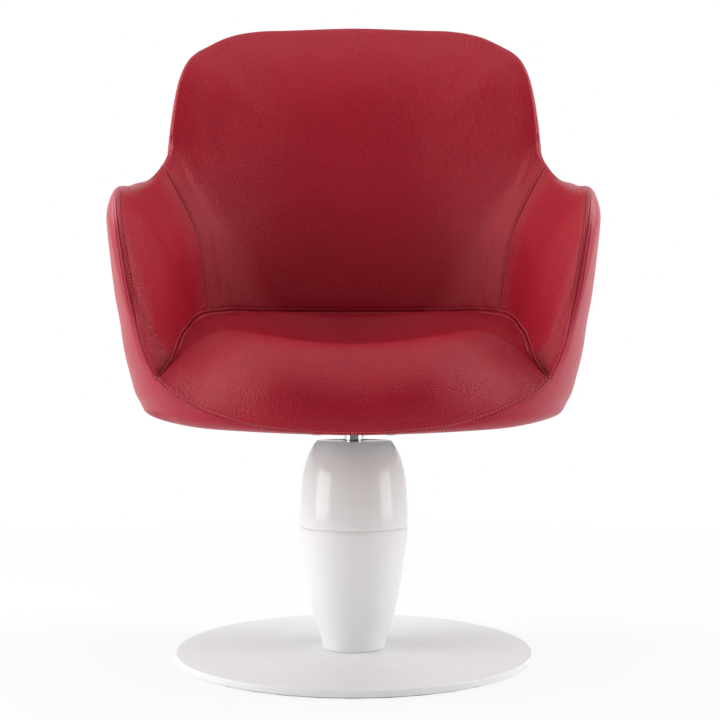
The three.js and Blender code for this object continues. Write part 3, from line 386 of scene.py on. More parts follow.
spigot_low = PEDESTAL_SPLIT - PEDESTAL_SPIGOT
socket = pedestal_radius(spigot_low) - PEDESTAL_WALL
lower_outline = [(pedestal_radius(PEDESTAL_FOOT) - JOINT_BEVEL, PEDESTAL_FOOT)]
lower_outline += pedestal_side(PEDESTAL_FOOT + JOINT_BEVEL, PEDESTAL_SPLIT - JOINT_BEVEL, 0)
lower_outline += [(pedestal_radius(PEDESTAL_SPLIT) - JOINT_BEVEL, PEDESTAL_SPLIT), (socket, PEDESTAL_SPLIT)]
lower_outline += pedestal_side(PEDESTAL_FOOT, spigot_low, PEDESTAL_WALL, steps=14)[::-1]
lower_cover = turned("pedestal_lower", lower_outline, satin_white)
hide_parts("pedestal_lower_cover")
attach(lower_cover, "base")

upper_low = PEDESTAL_SPLIT + JOINT_GAP
spigot = socket - JOINT_GAP
side_top = PEDESTAL_TOP - TOP_EDGE
side_radius = pedestal_radius(side_top)
upper_outline = [(spigot, spigot_low), (spigot, upper_low),
                 (pedestal_radius(upper_low) - JOINT_BEVEL, upper_low)]
upper_outline += pedestal_side(upper_low + JOINT_BEVEL, side_top - EDGE_START, 0)
for t in np.linspace(0.1, 1, 9):
    upper_outline.append((side_radius + (TOP_FACE_RADIUS - side_radius) * (1 - math.cos(t * math.pi / 2)),
                          side_top + TOP_EDGE * math.sin(t * math.pi / 2)))
upper_outline += [(POST_HOLE + HOLE_BEVEL, PEDESTAL_TOP), (POST_HOLE, PEDESTAL_TOP - HOLE_BEVEL),
                  (POST_HOLE, PEDESTAL_TOP - PEDESTAL_WALL),
                  (TOP_FACE_RADIUS - PEDESTAL_WALL, PEDESTAL_TOP - PEDESTAL_WALL)]
upper_outline += pedestal_side(upper_low + PEDESTAL_WALL, side_top - PEDESTAL_WALL, PEDESTAL_WALL,
                               steps=12)[::-1]
upper_outline += [(spigot - PEDESTAL_WALL, upper_low + PEDESTAL_WALL), (spigot - PEDESTAL_WALL, spigot_low)]
upper_cover = turned("pedestal_upper", upper_outline, gloss_white)
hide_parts("pedestal_upper_cover")
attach(upper_cover, "base")


# Post: a ground steel spindle, chrome-plated, that turns in the column. Its top sits in a
# tapered hub on the plate under the seat.

chrome = finish_of("bright_chrome_plate", "#d3d5d8", 0.06, metallic=1.0, grit=0.5, bump=0.01, wear=0.05)
post_low, post_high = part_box("spindle")
POST_RADIUS = post_high.x
POST_FILLET = 0.001
TAPER_LENGTH = 0.016
TAPER_DEPTH = 0.0008
TAPER_FILLET = 0.0002
TOP_FILLET = 0.0005
post = turned("post", rounded([
    (0, post_low.z, 0), (POST_RADIUS, post_low.z, POST_FILLET),
    (POST_RADIUS, post_high.z - TAPER_LENGTH, TAPER_FILLET),
    (POST_RADIUS - TAPER_DEPTH, post_high.z, TOP_FILLET),
    (0, post_high.z, 0)]), chrome, sides=96, closed=False)
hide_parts("spindle")
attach(post, "chair")


# Mounting plate and hub: laser-cut and turned steel, four bolts up into insert nuts in a round
# plywood board that lies in the floor of the tub.

dress(["mounting_plate", "seat_hub"], turned_steel)
dress([f"seat_bolt_{i}" for i in range(1, 5)] + [f"insert_nut_{i}" for i in range(1, 5)], zinc)
plywood = finish_of("birch_plywood", "#c9a877", 0.62, grit=0.7, bump=0.25, wear=0.18)
dress(["seat_board"], plywood)


# Tub, inside: a shell moulded in one piece, with shapes of cold-cured foam laid on it for the
# seat, the back and the arms. None of it shows once it is covered.

moulded_shell = finish_of("moulded_shell", "#8d887e", 0.8, grit=2.0, bump=0.3, wear=0.1)
cold_foam = finish_of("cold_cured_foam", "#e6dcb4", 0.95, grit=1.0, bump=0.5, wear=0.12, fuzz=0.2)
dress(["tub_shell"], moulded_shell)
dress(["seat_foam", "back_foam", "right_arm_foam", "left_arm_foam"], cold_foam)


# Outside cover, its shape: smooth leather on the outer face of the shell, from the rim down and in
# under the floor. Two pieces wrap the arms and meet under the front lip, and a third covers the
# back. Angles are in degrees from the sitter's left (+X), and 90 is straight behind.

HALF_WIDTH = 0.337
FRONT_DEPTH = 0.366
REAR_DEPTH = 0.302
BACK_HEIGHT = 0.977
NOTCH_HEIGHT = 0.722
ARM_HEIGHT = 0.646
TIP_HEIGHT = 0.388
LIP_HEIGHT = 0.322
FLOOR_HEIGHT = 0.320
SIDE_BOTTOM = 0.345
REAR_BOTTOM = 0.339
FLOOR_FLAT = 0.1625
FRONT_CORNER = 0.028
SIDE_CORNER = 0.017
FRONT_POWER = 2.6
REAR_POWER = 2.5
RIM_DRAW = 0.008
ARM_DRAW = 0.0125
RIM_DRAW_REACH = 0.044
TIP_ANGLE = -45.5
NOTCH_ANGLE = 24.6
LEATHER = 0.0018
TUCK_LENGTH = 0.055
UNDER_SAG = 0.010
SLOPE_STEP = 0.004
MEAN_RADIUS = 0.25
RIM_STEPS = 2880
CELL = 0.0062
FULL_LINE = 0.09
OUTSIDE_ROWS = 62
UNDER_POINTS = 40
WALL_POINTS = 160

# The tub's half width, and its depth in front and behind: rows of height and size, as shares of
# BACK_HEIGHT and of HALF_WIDTH, FRONT_DEPTH or REAR_DEPTH.
width_rows = [
    [0.3234, 0.824], [0.3572, 0.852], [0.3808, 0.886], [0.3941, 0.8966], [0.4391, 0.9278],
    [0.4746, 0.942], [0.5097, 0.961], [0.5445, 0.9743], [0.5716, 0.9838], [0.5988, 0.9931],
    [0.6223, 0.998], [0.6551, 1], [0.6766, 0.998], [0.7354, 0.984], [1, 0.983]]
front_rows = [[0.3243, 0.855], [0.3586, 0.87], [0.396, 0.905], [0.4717, 0.965], [0.5699, 1], [1, 1]]
rear_rows = [[0.3243, 0.75], [0.3537, 0.785], [0.4097, 0.82], [0.511, 0.865], [0.6682, 0.92], [1, 1]]
# The rim's height: for each stretch its two levels, and rows of angle and share of the way up.
rim_shares = [
    (LIP_HEIGHT, TIP_HEIGHT, [(-90, 0), (-72, 0.1), (-62, 0.29), (-54, 0.54), (TIP_ANGLE, 1)]),
    (TIP_HEIGHT, ARM_HEIGHT, [(-42.2, 0.125), (-39.4, 0.31), (-37.2, 0.5), (-35, 0.659), (-32, 0.82),
                              (-27.5, 0.941), (-20, 1)]),
    (ARM_HEIGHT, NOTCH_HEIGHT, [(-6, 0.184), (8, 0.434), (17, 0.618), (NOTCH_ANGLE, 1)]),
    (NOTCH_HEIGHT, BACK_HEIGHT, [(28.8, 0.137), (30.5, 0.357), (33.2, 0.584), (37, 0.7255), (43, 0.8255),
                                 (51, 0.912), (63, 0.9685), (90, 1)]),
]
rim_rows = [[angle, low + (high - low) * share] for low, high, rows in rim_shares for angle, share in rows]
# How far the wall is drawn in under the rim, the height of its lower edge and the radius of its
# lower corner: rows of angle and size.
draw_rows = [[-46, 0], [-36, RIM_DRAW], [-26, ARM_DRAW], [-4, ARM_DRAW], [14, 0.010], [25, RIM_DRAW],
             [90, RIM_DRAW]]
bottom_rows = [[-90, LIP_HEIGHT], [-57, 0.327], [-30, 0.339], [0, SIDE_BOTTOM], [90, REAR_BOTTOM]]
corner_rows = [[-90, FRONT_CORNER], [-57, 0.0258], [-20, SIDE_CORNER], [90, SIDE_CORNER]]


def mix(a, b, u):
    """From a at u = 0 to b at u = 1."""
    return a + (b - a) * u


def ease(u):
    """Goes from 0 to 1 as u does, and is level at both ends."""
    return u * u * (3 - 2 * u)


def fold(theta):
    """The angle on the +X half, -90 to 90, that mirrors this one or is the same."""
    return 90 - np.abs(90 - np.asarray(theta, float))


def spin(r, theta, z):
    """Points at a radius, an angle and a height."""
    a = np.radians(theta)
    return np.stack(np.broadcast_arrays(r * np.cos(a), r * np.sin(a), z), -1)


def wall_radius(f, z):
    """Distance from the axis to the outer face of the wall."""
    a, share = np.radians(f), z / BACK_HEIGHT
    rear = np.sin(a) > 0
    depth = np.where(rear, REAR_DEPTH * along(rear_rows, share), FRONT_DEPTH * along(front_rows, share))
    power = np.where(rear, REAR_POWER, FRONT_POWER)
    across = np.abs(np.cos(a)) / (HALF_WIDTH * along(width_rows, share))
    return (across ** power + (np.abs(np.sin(a)) / depth) ** power) ** (-1 / power)


def drawn_radius(f, z):
    """The same, with the wall drawn in a little towards the rim."""
    near = np.clip(1 - (along(rim_rows, f) - z) / RIM_DRAW_REACH, 0, 1)
    return wall_radius(f, z) - along(draw_rows, f) * near ** 2


def run_of(line):
    """Distance along a line at each of its points."""
    return np.concatenate([[0], np.cumsum(np.linalg.norm(np.diff(line, axis=0), axis=1))])


def points_at(wanted, run, line):
    """Points at the wanted distances along a line, whose own points lie at the distances in run."""
    return np.stack([np.interp(wanted, run, line[:, k]) for k in range(3)], -1)


rim_angles = np.linspace(-90, 90, RIM_STEPS + 1)
rim_heights = along(rim_rows, rim_angles)
rim_line = spin(drawn_radius(rim_angles, rim_heights), rim_angles, rim_heights)
rim_length = run_of(rim_line)
rim_tangent = np.gradient(rim_line, axis=0)
rim_tangent /= np.linalg.norm(rim_tangent, axis=1, keepdims=True)
whole_rim = np.vstack([rim_line, rim_line[::-1] * (-1, 1, 1)])

# Distances of a grid's rows from a seam: close together beside it, and spreading out.
beside_seam = np.array([0, 1.0, 2.0, 2.9, 3.7, 4.5, 5.6, 7.5, 10, 13.5, 18, 24]) / 1000


def columns(first, last, dense_first=False, dense_last=False):
    """Angles of a panel's columns, evenly along the rim, and close together beside an upright seam."""
    step = np.degrees(beside_seam / MEAN_RADIUS)
    low = first + (step[-1] if dense_first else 0)
    high = last - (step[-1] if dense_last else 0)
    run = np.concatenate([rim_length, 2 * rim_length[-1] - rim_length[-2::-1]])
    angles = np.concatenate([rim_angles, 180 - rim_angles[-2::-1]])
    at = np.interp([low, high], angles, run)
    even = np.interp(np.linspace(at[0], at[1], int((at[1] - at[0]) / CELL) + 2), run, angles)
    parts = [first + step[:-1]] if dense_first else []
    parts.append(even)
    if dense_last:
        parts.append((last - step[:-1])[::-1])
    return np.concatenate(parts)


def even_rows(dense, count):
    """Distances along each column of a grid, from 0 to its length, close together near its ends."""
    def rows(length):
        shrink = np.minimum(1, length / FULL_LINE)
        start = beside_seam[None] * shrink[:, None]
        end = (length[:, None] - start)[:, ::-1] if dense == "both" else length[:, None]
        first, last = start[:, -1:], end[:, :1]
        middle = mix(first, last, np.linspace(0, 1, count)[None, 1:-1])
        return np.hstack([start, middle, end])
    return rows


def along_lines(lines, rows):
    """Points at the given distances along each line of a (lines, points, 3) array."""
    steps = np.linalg.norm(np.diff(lines, axis=1), axis=2)
    lengths = np.hstack([np.zeros((len(lines), 1)), np.cumsum(steps, axis=1)])
    wanted = rows(lengths[:, -1])
    return np.stack([points_at(*each) for each in zip(wanted, lengths, lines)])


def outside_lines(theta):
    """Section of the outer face at each angle, from the rim down and in under the floor, and how far
    along it the leather goes."""
    f = fold(theta)[:, None]
    bottom, corner, rim = along(bottom_rows, f), along(corner_rows, f), along(rim_rows, f)
    above = wall_radius(f, bottom + corner + SLOPE_STEP)
    slant = (above - wall_radius(f, bottom + corner)) / SLOPE_STEP
    full = np.arctan2(1, np.maximum(slant, 0))
    corner_top = bottom + corner * (1 - np.cos(full))
    corner_start = wall_radius(f, corner_top) - corner * np.sin(full)
    u = np.linspace(0, 1, UNDER_POINTS)[None]
    under_r = mix(FLOOR_FLAT, corner_start, u)
    under_z = mix(FLOOR_HEIGHT, bottom, ease(u)) - UNDER_SAG * u * u * (1 - u)
    short = np.arccos(np.clip(1 - (rim - bottom) / corner, -1, 1))
    turn = u[:, 1:] * np.where(rim < corner_top, short, full)
    corner_r = corner_start + corner * np.sin(turn)
    corner_z = bottom + corner * (1 - np.cos(turn))
    share = np.linspace(0, 1, WALL_POINTS)[None, 1:]
    wall_z = mix(corner_top, np.maximum(rim, corner_top + 1e-7), share)
    wall_r = np.where(rim < corner_top, corner_r[:, -1:], drawn_radius(f, wall_z))
    wall_z = np.where(rim < corner_top, corner_z[:, -1:], wall_z)
    r = np.hstack([under_r, corner_r, wall_r])[:, ::-1]
    z = np.hstack([under_z, corner_z, wall_z])[:, ::-1]
    lines = spin(r, np.asarray(theta)[:, None], z)
    covered = np.linalg.norm(np.diff(lines, axis=1), axis=2).sum(1) - TUCK_LENGTH
    return lines, covered


def outside_panel(theta):
    """A piece of the outside, as a grid of points with a line from the rim down at each angle."""
    lines, covered = outside_lines(theta)
    rows = even_rows("one", OUTSIDE_ROWS)
    return along_lines(lines, lambda _: rows(covered))


outside_angles = {
    "outer_leather_right": columns(-90, NOTCH_ANGLE, dense_last=True),
    "outer_leather_back": columns(NOTCH_ANGLE, 180 - NOTCH_ANGLE, dense_first=True, dense_last=True),
    "outer_leather_left": columns(180 - NOTCH_ANGLE, 270, dense_first=True),
}
outside_grids = {name: outside_panel(theta) for name, theta in outside_angles.items()}


# Inside cover, its shape: four panels of red grained leather over foam, the seat, the back and two
# arms. They are sewn together with flat seams, and sewn to the outside cover along the rim.

ARM_THICKNESS = 0.086
BACK_THICKNESS = 0.070
SEAT_HEIGHT = 0.430
SEAT_DISH = 0.036
SEAT_DISH_WIDTH = 0.170
SEAT_DISH_LIMIT = 1.25
SEAT_DISH_EASE = 0.25
SEAT_REAR_RISE = 0.076
SEAT_REAR_RUN = 0.190
SEAT_REAR_START = 0.020
SEAT_REAR_POWER = 2.2
SHOULDER_PULL = 0.55
SEAT_CORNERS = (TIP_ANGLE, 42.0)
FRONT_SEAM = 0.408
SIDE_SEAM = 0.464
REAR_SEAM = 0.499
FRONT_BULGE = 0.026
ROLL_POWER = 0.75
CREST_START = 0.011
CREST_HOLD = 0.1
LEAN_STEP = 0.6
ARM_ROWS = 34
BACK_ROWS = 66
PANEL_POINTS = 120
ROLL_CROWDING = 2.2
SEAT_COLUMNS = 79
SEAT_STEPS = 1440
SEAT_RINGS = 160
SEAT_POINTS = 60

# The wall's thickness, as rows of height and size. The other tables are rows of angle and size: how
# far the roll reaches from the rim, how high its crest stands, how much of it is a straight slope,
# and the height of the seat's seam and its distance from the axis.
thickness_rows = [[0.48, ARM_THICKNESS], [0.8256, BACK_THICKNESS]]
roll_rows = [[-90, 0.105], [-20, 0.110], [15, 0.115], [40, 0.140], [60, 0.165], [90, 0.165]]
crest_rows = [[-90, 0.004], [-46, 0.005], [-41, 0.010], [-35, 0.012], [-24, 0.013], [-10, 0.015],
              [4, 0.014], [16, 0.010], [25, 0.007], [38, 0.008], [47, 0.015], [56, 0.020], [90, 0.021]]
slope_rows = [[-90, 0.9], [-36, 0.9], [-26, 0.5], [-14, 0.2], [0, 0], [90, 0]]
seam_rows = [[TIP_ANGLE, TIP_HEIGHT], [-43.5, 0.391], [-39, 0.4055], [-33, mix(FRONT_SEAM, SIDE_SEAM, 0.24)],
             [-18.7, mix(FRONT_SEAM, SIDE_SEAM, 0.7)], [0, SIDE_SEAM],
             [NOTCH_ANGLE, mix(SIDE_SEAM, REAR_SEAM, 0.82)], [40, REAR_SEAM], [90, REAR_SEAM]]
seat_line_rows = [[TIP_ANGLE, 0.3423], [-44, 0.3300], [-42, 0.3185], [-40, 0.3080], [-36, 0.2905],
                  [-30, 0.2700], [-26, 0.2600], [-19, 0.2490], [-10, 0.2410], [0, 0.2378], [10, 0.2400],
                  [20, 0.2420], [25, 0.2405], [34, 0.2334]]
# The seat's edge, by angle: how wide its shoulder is, how far its flank stands out past the seam,
# and how far up the flank that is, as a share.
shoulder_rows = [[-90, 0.088], [-66, 0.096], [-52, 0.130], [-42, 0.150], [-30, 0.140], [-14, 0.095],
                 [2, 0.060], [25, 0.042], [90, 0.042]]
bulge_rows = [[-90, FRONT_BULGE], [-74, FRONT_BULGE], [-62, 0.004], [-52, -0.022], [-42, -0.040],
              [-30, -0.042], [-14, -0.032], [2, -0.020], [25, 0], [90, 0]]
flank_rows = [[-90, 0.5], [-66, 0.5], [-50, 0.42], [-42, 0.38], [-20, 0.38], [2, 0.42], [25, 0.5],
              [90, 0.5]]


def from_rim(points):
    """Distance from each point to the rim."""
    places = points.reshape(-1, 3)
    line = whole_rim[::4]
    step = np.roll(line, -1, axis=0) - line
    size = np.maximum((step ** 2).sum(1), 1e-12)
    found = np.empty(len(places))
    batch = 4000
    for i in range(0, len(places), batch):
        part = places[i:i + batch]
        nearest = ((part[:, None] - line[None]) ** 2).sum(2).argmin(1)
        both = []
        for k in (nearest, nearest - 1):
            share = np.clip(((part - line[k]) * step[k]).sum(1) / size[k], 0, 1)[:, None]
            both.append(((part - line[k] - step[k] * share) ** 2).sum(1))
        found[i:i + batch] = np.sqrt(np.minimum(*both))
    return found.reshape(points.shape[:-1])


seam_line_heights = np.minimum(along(seam_rows, rim_angles), rim_heights)
rim_to_seam = from_rim(spin(drawn_radius(rim_angles, seam_line_heights), rim_angles, seam_line_heights))


def inside_wall(theta, z):
    """The inner face of the wall: it rolls over from the rim and thickens below it."""
    f = fold(theta)
    r = drawn_radius(f, z)
    turned_in = wall_radius(f + LEAN_STEP, z) - wall_radius(f - LEAN_STEP, z)
    lean = turned_in / math.radians(2 * LEAN_STEP) / wall_radius(f, z)
    away = np.where(z >= along(rim_rows, f) - 1e-9, 0, from_rim(spin(r, theta, z)))
    reach = along(roll_rows, f)
    grown = np.sin(np.clip(away / reach, 0, 1) * math.pi / 2) ** ROLL_POWER
    # In front, where the arm runs down to the seat, the roll is a slope instead, as far as the seam.
    seam_away = np.interp(f, rim_angles, rim_to_seam)
    at_seam = np.sin(np.clip(seam_away / reach, 0, 1) * math.pi / 2) ** ROLL_POWER
    slope = at_seam * np.clip(away / np.maximum(seam_away, 1e-6), 0, 1)
    grown = mix(grown, slope, along(slope_rows, f))
    tall = np.clip((along(rim_rows, f) - along(seam_rows, f)) / reach, 0, 1)
    fall = np.clip((away / reach - CREST_HOLD) / (1 - CREST_HOLD), 0, 1)
    rise = along(crest_rows, f) * tall * np.tanh(away / CREST_START) * (1 - ease(fall))
    # The crest stands off square to the rim, so that it stays round where the rim turns down.
    tangent = [np.interp(f, rim_angles, rim_tangent[:, k]) for k in range(3)]
    square = np.sqrt(np.maximum(1 - tangent[2] ** 2, 1e-6))
    mirror = np.where(np.asarray(theta) > 90, -1, 1)
    off = np.stack(np.broadcast_arrays(
        -tangent[2] * tangent[0] / square * mirror, -tangent[2] * tangent[1] / square, square), -1)
    return (spin(r - grown * along(thickness_rows, z) * np.hypot(1, lean), theta, z)
            + off * np.maximum(rise, 0)[..., None])


def seam_shift(theta):
    """How far out the seat's seam is drawn from the foot of the wall, to run in one smooth line."""
    f = fold(theta)
    foot = inside_wall(theta, np.minimum(along(seam_rows, f), along(rim_rows, f)))
    drawn = along(seat_line_rows, f) - np.hypot(foot[..., 0], foot[..., 1])
    return np.where((f > seat_line_rows[0][0]) & (f < seat_line_rows[-1][0]), drawn, 0)


def inside_panel(theta, rows):
    """The back or an arm, as a grid of points with a line from the rim to the seat at each angle."""
    theta = np.asarray(theta, float)[:, None]
    rim, seam = along(rim_rows, fold(theta)), along(seam_rows, fold(theta))
    seam = np.minimum(seam, rim)
    # The points lie close together near the rim, where the wall rolls over.
    share = np.linspace(0, 1, PANEL_POINTS)[None] ** ROLL_CROWDING
    z = mix(rim, seam, share)
    lines = inside_wall(np.broadcast_to(theta, z.shape), z)
    lines = lines + spin(seam_shift(theta) * share ** 2, theta, np.zeros_like(z))
    return along_lines(lines, rows)


def seat_height(x, y):
    """Height of the seat away from its seams: dished across, and rising into the back."""
    side = np.minimum(np.abs(x) / SEAT_DISH_WIDTH, SEAT_DISH_LIMIT)
    rear = np.maximum((y + SEAT_REAR_START) / SEAT_REAR_RUN, 0)
    dish = SEAT_DISH * side ** 2 * (1 - SEAT_DISH_EASE * side)
    return SEAT_HEIGHT + dish + SEAT_REAR_RISE * rear ** SEAT_REAR_POWER


seat_angles = np.linspace(-90, 270, SEAT_STEPS + 1)
seat_fold = fold(seat_angles)
seam_height = np.where(seat_fold < TIP_ANGLE, along(rim_rows, seat_fold), along(seam_rows, seat_fold))
seat_edge = np.where((seat_fold < TIP_ANGLE)[:, None],
                     spin(drawn_radius(seat_fold, seam_height), seat_angles, seam_height),
                     inside_wall(seat_angles, seam_height)
                     + spin(seam_shift(seat_angles), seat_angles, np.zeros_like(seat_angles)))
edge_r, edge_z = np.hypot(seat_edge[:, 0], seat_edge[:, 1]), seat_edge[:, 2]


def seat_section():
    """Sections of the seat from its edge to the axis, one for each of seat_angles."""
    a = np.radians(seat_angles)
    shoulder, bulge, flank = (along(rows, seat_fold) for rows in (shoulder_rows, bulge_rows, flank_rows))
    inner = edge_r - shoulder
    top = seat_height(inner * np.cos(a), inner * np.sin(a))
    step = 1e-4
    slope = (seat_height((inner + step) * np.cos(a), (inner + step) * np.sin(a)) - top) / step
    reach = SHOULDER_PULL * shoulder
    knots = [(edge_r, edge_z), (edge_r + bulge, mix(edge_z, top, flank)),
             (inner + reach, top + slope * reach), (inner, top)]
    t = np.linspace(0, 1, SEAT_POINTS)[:, None]
    weight = [(1 - t) ** 3, 3 * t * (1 - t) ** 2, 3 * t * t * (1 - t), t ** 3]
    r = sum(w * k[0][None] for w, k in zip(weight, knots))
    z = sum(w * k[1][None] for w, k in zip(weight, knots))
    share = np.linspace(1, 0, SEAT_POINTS + 1)[1:, None]
    flat_r = share * inner[None]
    flat_z = seat_height(flat_r * np.cos(a), flat_r * np.sin(a))
    return spin(np.vstack([r, flat_r]).T, seat_angles[:, None], np.vstack([z, flat_z]).T)


seat_rings = np.linspace(0, 1, SEAT_RINGS + 1)
seat_table = along_lines(seat_section(), lambda length: length[:, None] * seat_rings[None])
edge_run = run_of(seat_edge)


def between(table, row, column):
    """Values of a grid at places between its points."""
    i = np.minimum(row.astype(int), table.shape[0] - 2)
    j = np.minimum(column.astype(int), table.shape[1] - 2)
    a, b = (row - i)[..., None], (column - j)[..., None]
    return (table[i, j] * (1 - a) * (1 - b) + table[i + 1, j] * a * (1 - b)
            + table[i, j + 1] * (1 - a) * b + table[i + 1, j + 1] * a * b)


def seat_panel(across):
    """A square grid laid over the seat. Its rings follow the seat's edge and close in on the axis."""
    s, t = np.meshgrid(across, across, indexing="ij")
    ring = np.maximum(np.abs(s), np.abs(t))
    safe = np.maximum(ring, 1e-9)
    front, rear = SEAT_CORNERS
    sides = [(s >= np.abs(t), t / safe, front, rear), (t > np.abs(s), -s / safe, rear, 180 - rear),
             (-s >= np.abs(t), -t / safe, 180 - rear, 180 - front)]
    theta = np.interp((s / safe + 1) / 2, [0, 0.5, 1], [-90 - (front + 90), -90, front])
    for where, place, first, last in sides:
        at = np.interp([first, last], seat_angles, edge_run)
        theta = np.where(where, np.interp(mix(at[0], at[1], (place + 1) / 2), edge_run, seat_angles), theta)
    theta = np.where(theta < -90, theta + 360, theta)
    return between(seat_table, (theta + 90) * (SEAT_STEPS // 360), (1 - ring) * SEAT_RINGS)


close = beside_seam / MEAN_RADIUS
seat_across = np.concatenate([-1 + close[:-1], np.linspace(-1 + close[-1], 1 - close[-1], SEAT_COLUMNS),
                              (1 - close[:-1])[::-1]])
inside_angles = {
    "arm_pad_right": columns(TIP_ANGLE, NOTCH_ANGLE, dense_last=True),
    "back_pad": columns(NOTCH_ANGLE, 180 - NOTCH_ANGLE, dense_first=True, dense_last=True),
    "arm_pad_left": columns(180 - NOTCH_ANGLE, 180 - TIP_ANGLE, dense_first=True),
}
inside_grids = {name: inside_panel(theta, even_rows("both", BACK_ROWS if name == "back_pad" else ARM_ROWS))
                for name, theta in inside_angles.items()}
inside_grids["seat_pad"] = seat_panel(seat_across)


# Seams: where two pieces of leather are sewn together, the skin dips in, and the pull of the
# topstitching leaves a slight groove beside the seam. Each seam is a line of points with the way
# into the body at each point.

SEAM_DEPTH = 0.0016
SEAM_WIDTH = 0.0017
SEAM_REACH = 0.012
SEAM_STEP = 0.0004
SEAM_EASE = 6
STITCH_OFFSET = 0.0037
GROOVE_DEPTH = 0.0011
GROOVE_WIDTH = 0.0011
FADE_HEIGHT = 0.350
FADE_LENGTH = 0.025


def grid_normals(grid):
    """Unit normals of a grid of points. Which side they point to depends on how its rows run."""
    normals = np.cross(np.gradient(grid, axis=0), np.gradient(grid, axis=1))
    return normals / np.maximum(np.linalg.norm(normals, axis=2, keepdims=True), 1e-12)


def facing(name, grid):
    """Outward normals: out of the leather, whichever side of the wall it is on."""
    normals = grid_normals(grid)
    middle = (grid.shape[0] // 2, grid.shape[1] // 2)
    towards = np.array([0, 0, 1.0]) if name == "seat_pad" else -grid[middle] * (1, 1, 0)
    if name.startswith("outer"):
        towards = -towards
    return normals * np.sign((normals[middle] * towards).sum())


panel_grids = {**outside_grids, **inside_grids}
panel_normals = {name: facing(name, grid) for name, grid in panel_grids.items()}
edge_points, edge_normals = {}, {}
for name, grid in panel_grids.items():
    edge_points[name] = np.vstack([grid[0], grid[-1], grid[:, 0], grid[:, -1]])
    # The normals are those of a line a little way in, where the grid isn't pinched.
    normals = panel_normals[name]
    inner = 2 if name == "seat_pad" else 1
    edge_normals[name] = np.vstack([normals[inner], normals[-1 - inner],
                                    normals[:, inner], normals[:, -1 - inner]])


def tree_of(points):
    """Finds the nearest of many points."""
    tree = KDTree(len(points))
    for i, p in enumerate(points):
        tree.insert(p, i)
    tree.balance()
    return tree


edge_trees = {name: tree_of(points) for name, points in edge_points.items()}


def inward(line, names):
    """The way into the body at each point of a seam, from the panels that meet there."""
    total = np.zeros_like(line)
    for i, p in enumerate(line):
        for name in names:
            _, k, distance = edge_trees[name].find(p)
            if distance < SEAM_REACH:
                total[i] -= edge_normals[name][k]
    window = 2 * SEAM_EASE + 1
    smooth = np.stack([np.convolve(np.pad(total[:, k], SEAM_EASE, mode="edge"),
                                   np.ones(window) / window, "valid") for k in range(3)], -1)
    return smooth / np.maximum(np.linalg.norm(smooth, axis=1, keepdims=True), 1e-9)


upright = inside_grids["back_pad"][0]
seat_seam = seat_edge[seat_fold >= TIP_ANGLE]
seam_routes = {
    "rim": (whole_rim[::2], list(panel_grids)),
    "right_side": (upright, ["arm_pad_right", "back_pad"]),
    "left_side": (upright * (-1, 1, 1), ["arm_pad_left", "back_pad"]),
    "seat_edge": (seat_seam, list(inside_grids)),
    "right_outside": (outside_grids["outer_leather_back"][0], list(outside_grids)),
    "left_outside": (outside_grids["outer_leather_back"][-1], list(outside_grids)),
}
seams = {}
for key, (line, names) in seam_routes.items():
    run = run_of(line)
    line = points_at(np.arange(0, run[-1], SEAM_STEP), run, line)
    way = inward(line, names)
    if key.endswith("outside"):
        # The seam lies flat once it has gone in under the chair.
        way *= np.clip((line[:, 2:] - FADE_HEIGHT) / FADE_LENGTH, 0, 1)
    seams[key] = (line, way)
seam_points = np.vstack([line for line, _ in seams.values()])
seam_inward = np.vstack([way for _, way in seams.values()])
seam_tree = tree_of(seam_points)


def dipped(grid, normals):
    """A grid drawn down into the seams at its edges, with a slight groove where the stitches pull."""
    points, out = grid.reshape(-1, 3), normals.reshape(-1, 3)
    moved = points.copy()
    for i, p in enumerate(points):
        _, k, distance = seam_tree.find(p)
        if distance > SEAM_REACH:
            continue
        pull = math.exp(-(distance / SEAM_WIDTH) ** 2)
        groove = math.exp(-((distance - STITCH_OFFSET) / GROOVE_WIDTH) ** 2)
        moved[i] = p + seam_inward[k] * SEAM_DEPTH * pull - out[i] * GROOVE_DEPTH * groove * (1 - pull)
    return moved.reshape(grid.shape)


# Inside cover, upholstered: the four panels as leather on foam. Each is a cloth held along its
# seams and blown up a little, so that it stands fuller than its pattern, as leather stretched
# over foam does.

SWELL = 0.0024
PRESSURE = 4.0
CLOTH_CELL = 0.006
CLOTH_END = 0.004
CLOTH_FRAMES = 20
SHORT_LINES = 2
EASINGS = 9
PAD_REACH = 0.05
PAD_DEPTH = {"seat_pad": 0.034, "back_pad": 0.022, "arm_pad_right": 0.022, "arm_pad_left": 0.022}


def grid_faces(tall, wide):
    """Four-sided faces of a grid of points."""
    index = np.arange(tall * wide).reshape(tall, wide)
    return np.stack([index[:-1, :-1], index[1:, :-1], index[1:, 1:], index[:-1, 1:]], -1).reshape(-1, 4)


def spread(grid, axis):
    """Which rows of a grid the cloth keeps: the first, the last, and some about CLOTH_CELL apart."""
    steps = np.linalg.norm(np.diff(grid, axis=axis), axis=2).mean(1 - axis)
    places = np.concatenate([[0], np.cumsum(steps)])
    kept = [0]
    for i in range(1, len(places) - 1):
        if places[i] - places[kept[-1]] >= CLOTH_CELL and places[-1] - places[i] >= CLOTH_END:
            kept.append(i)
    return np.array(kept + [len(places) - 1])


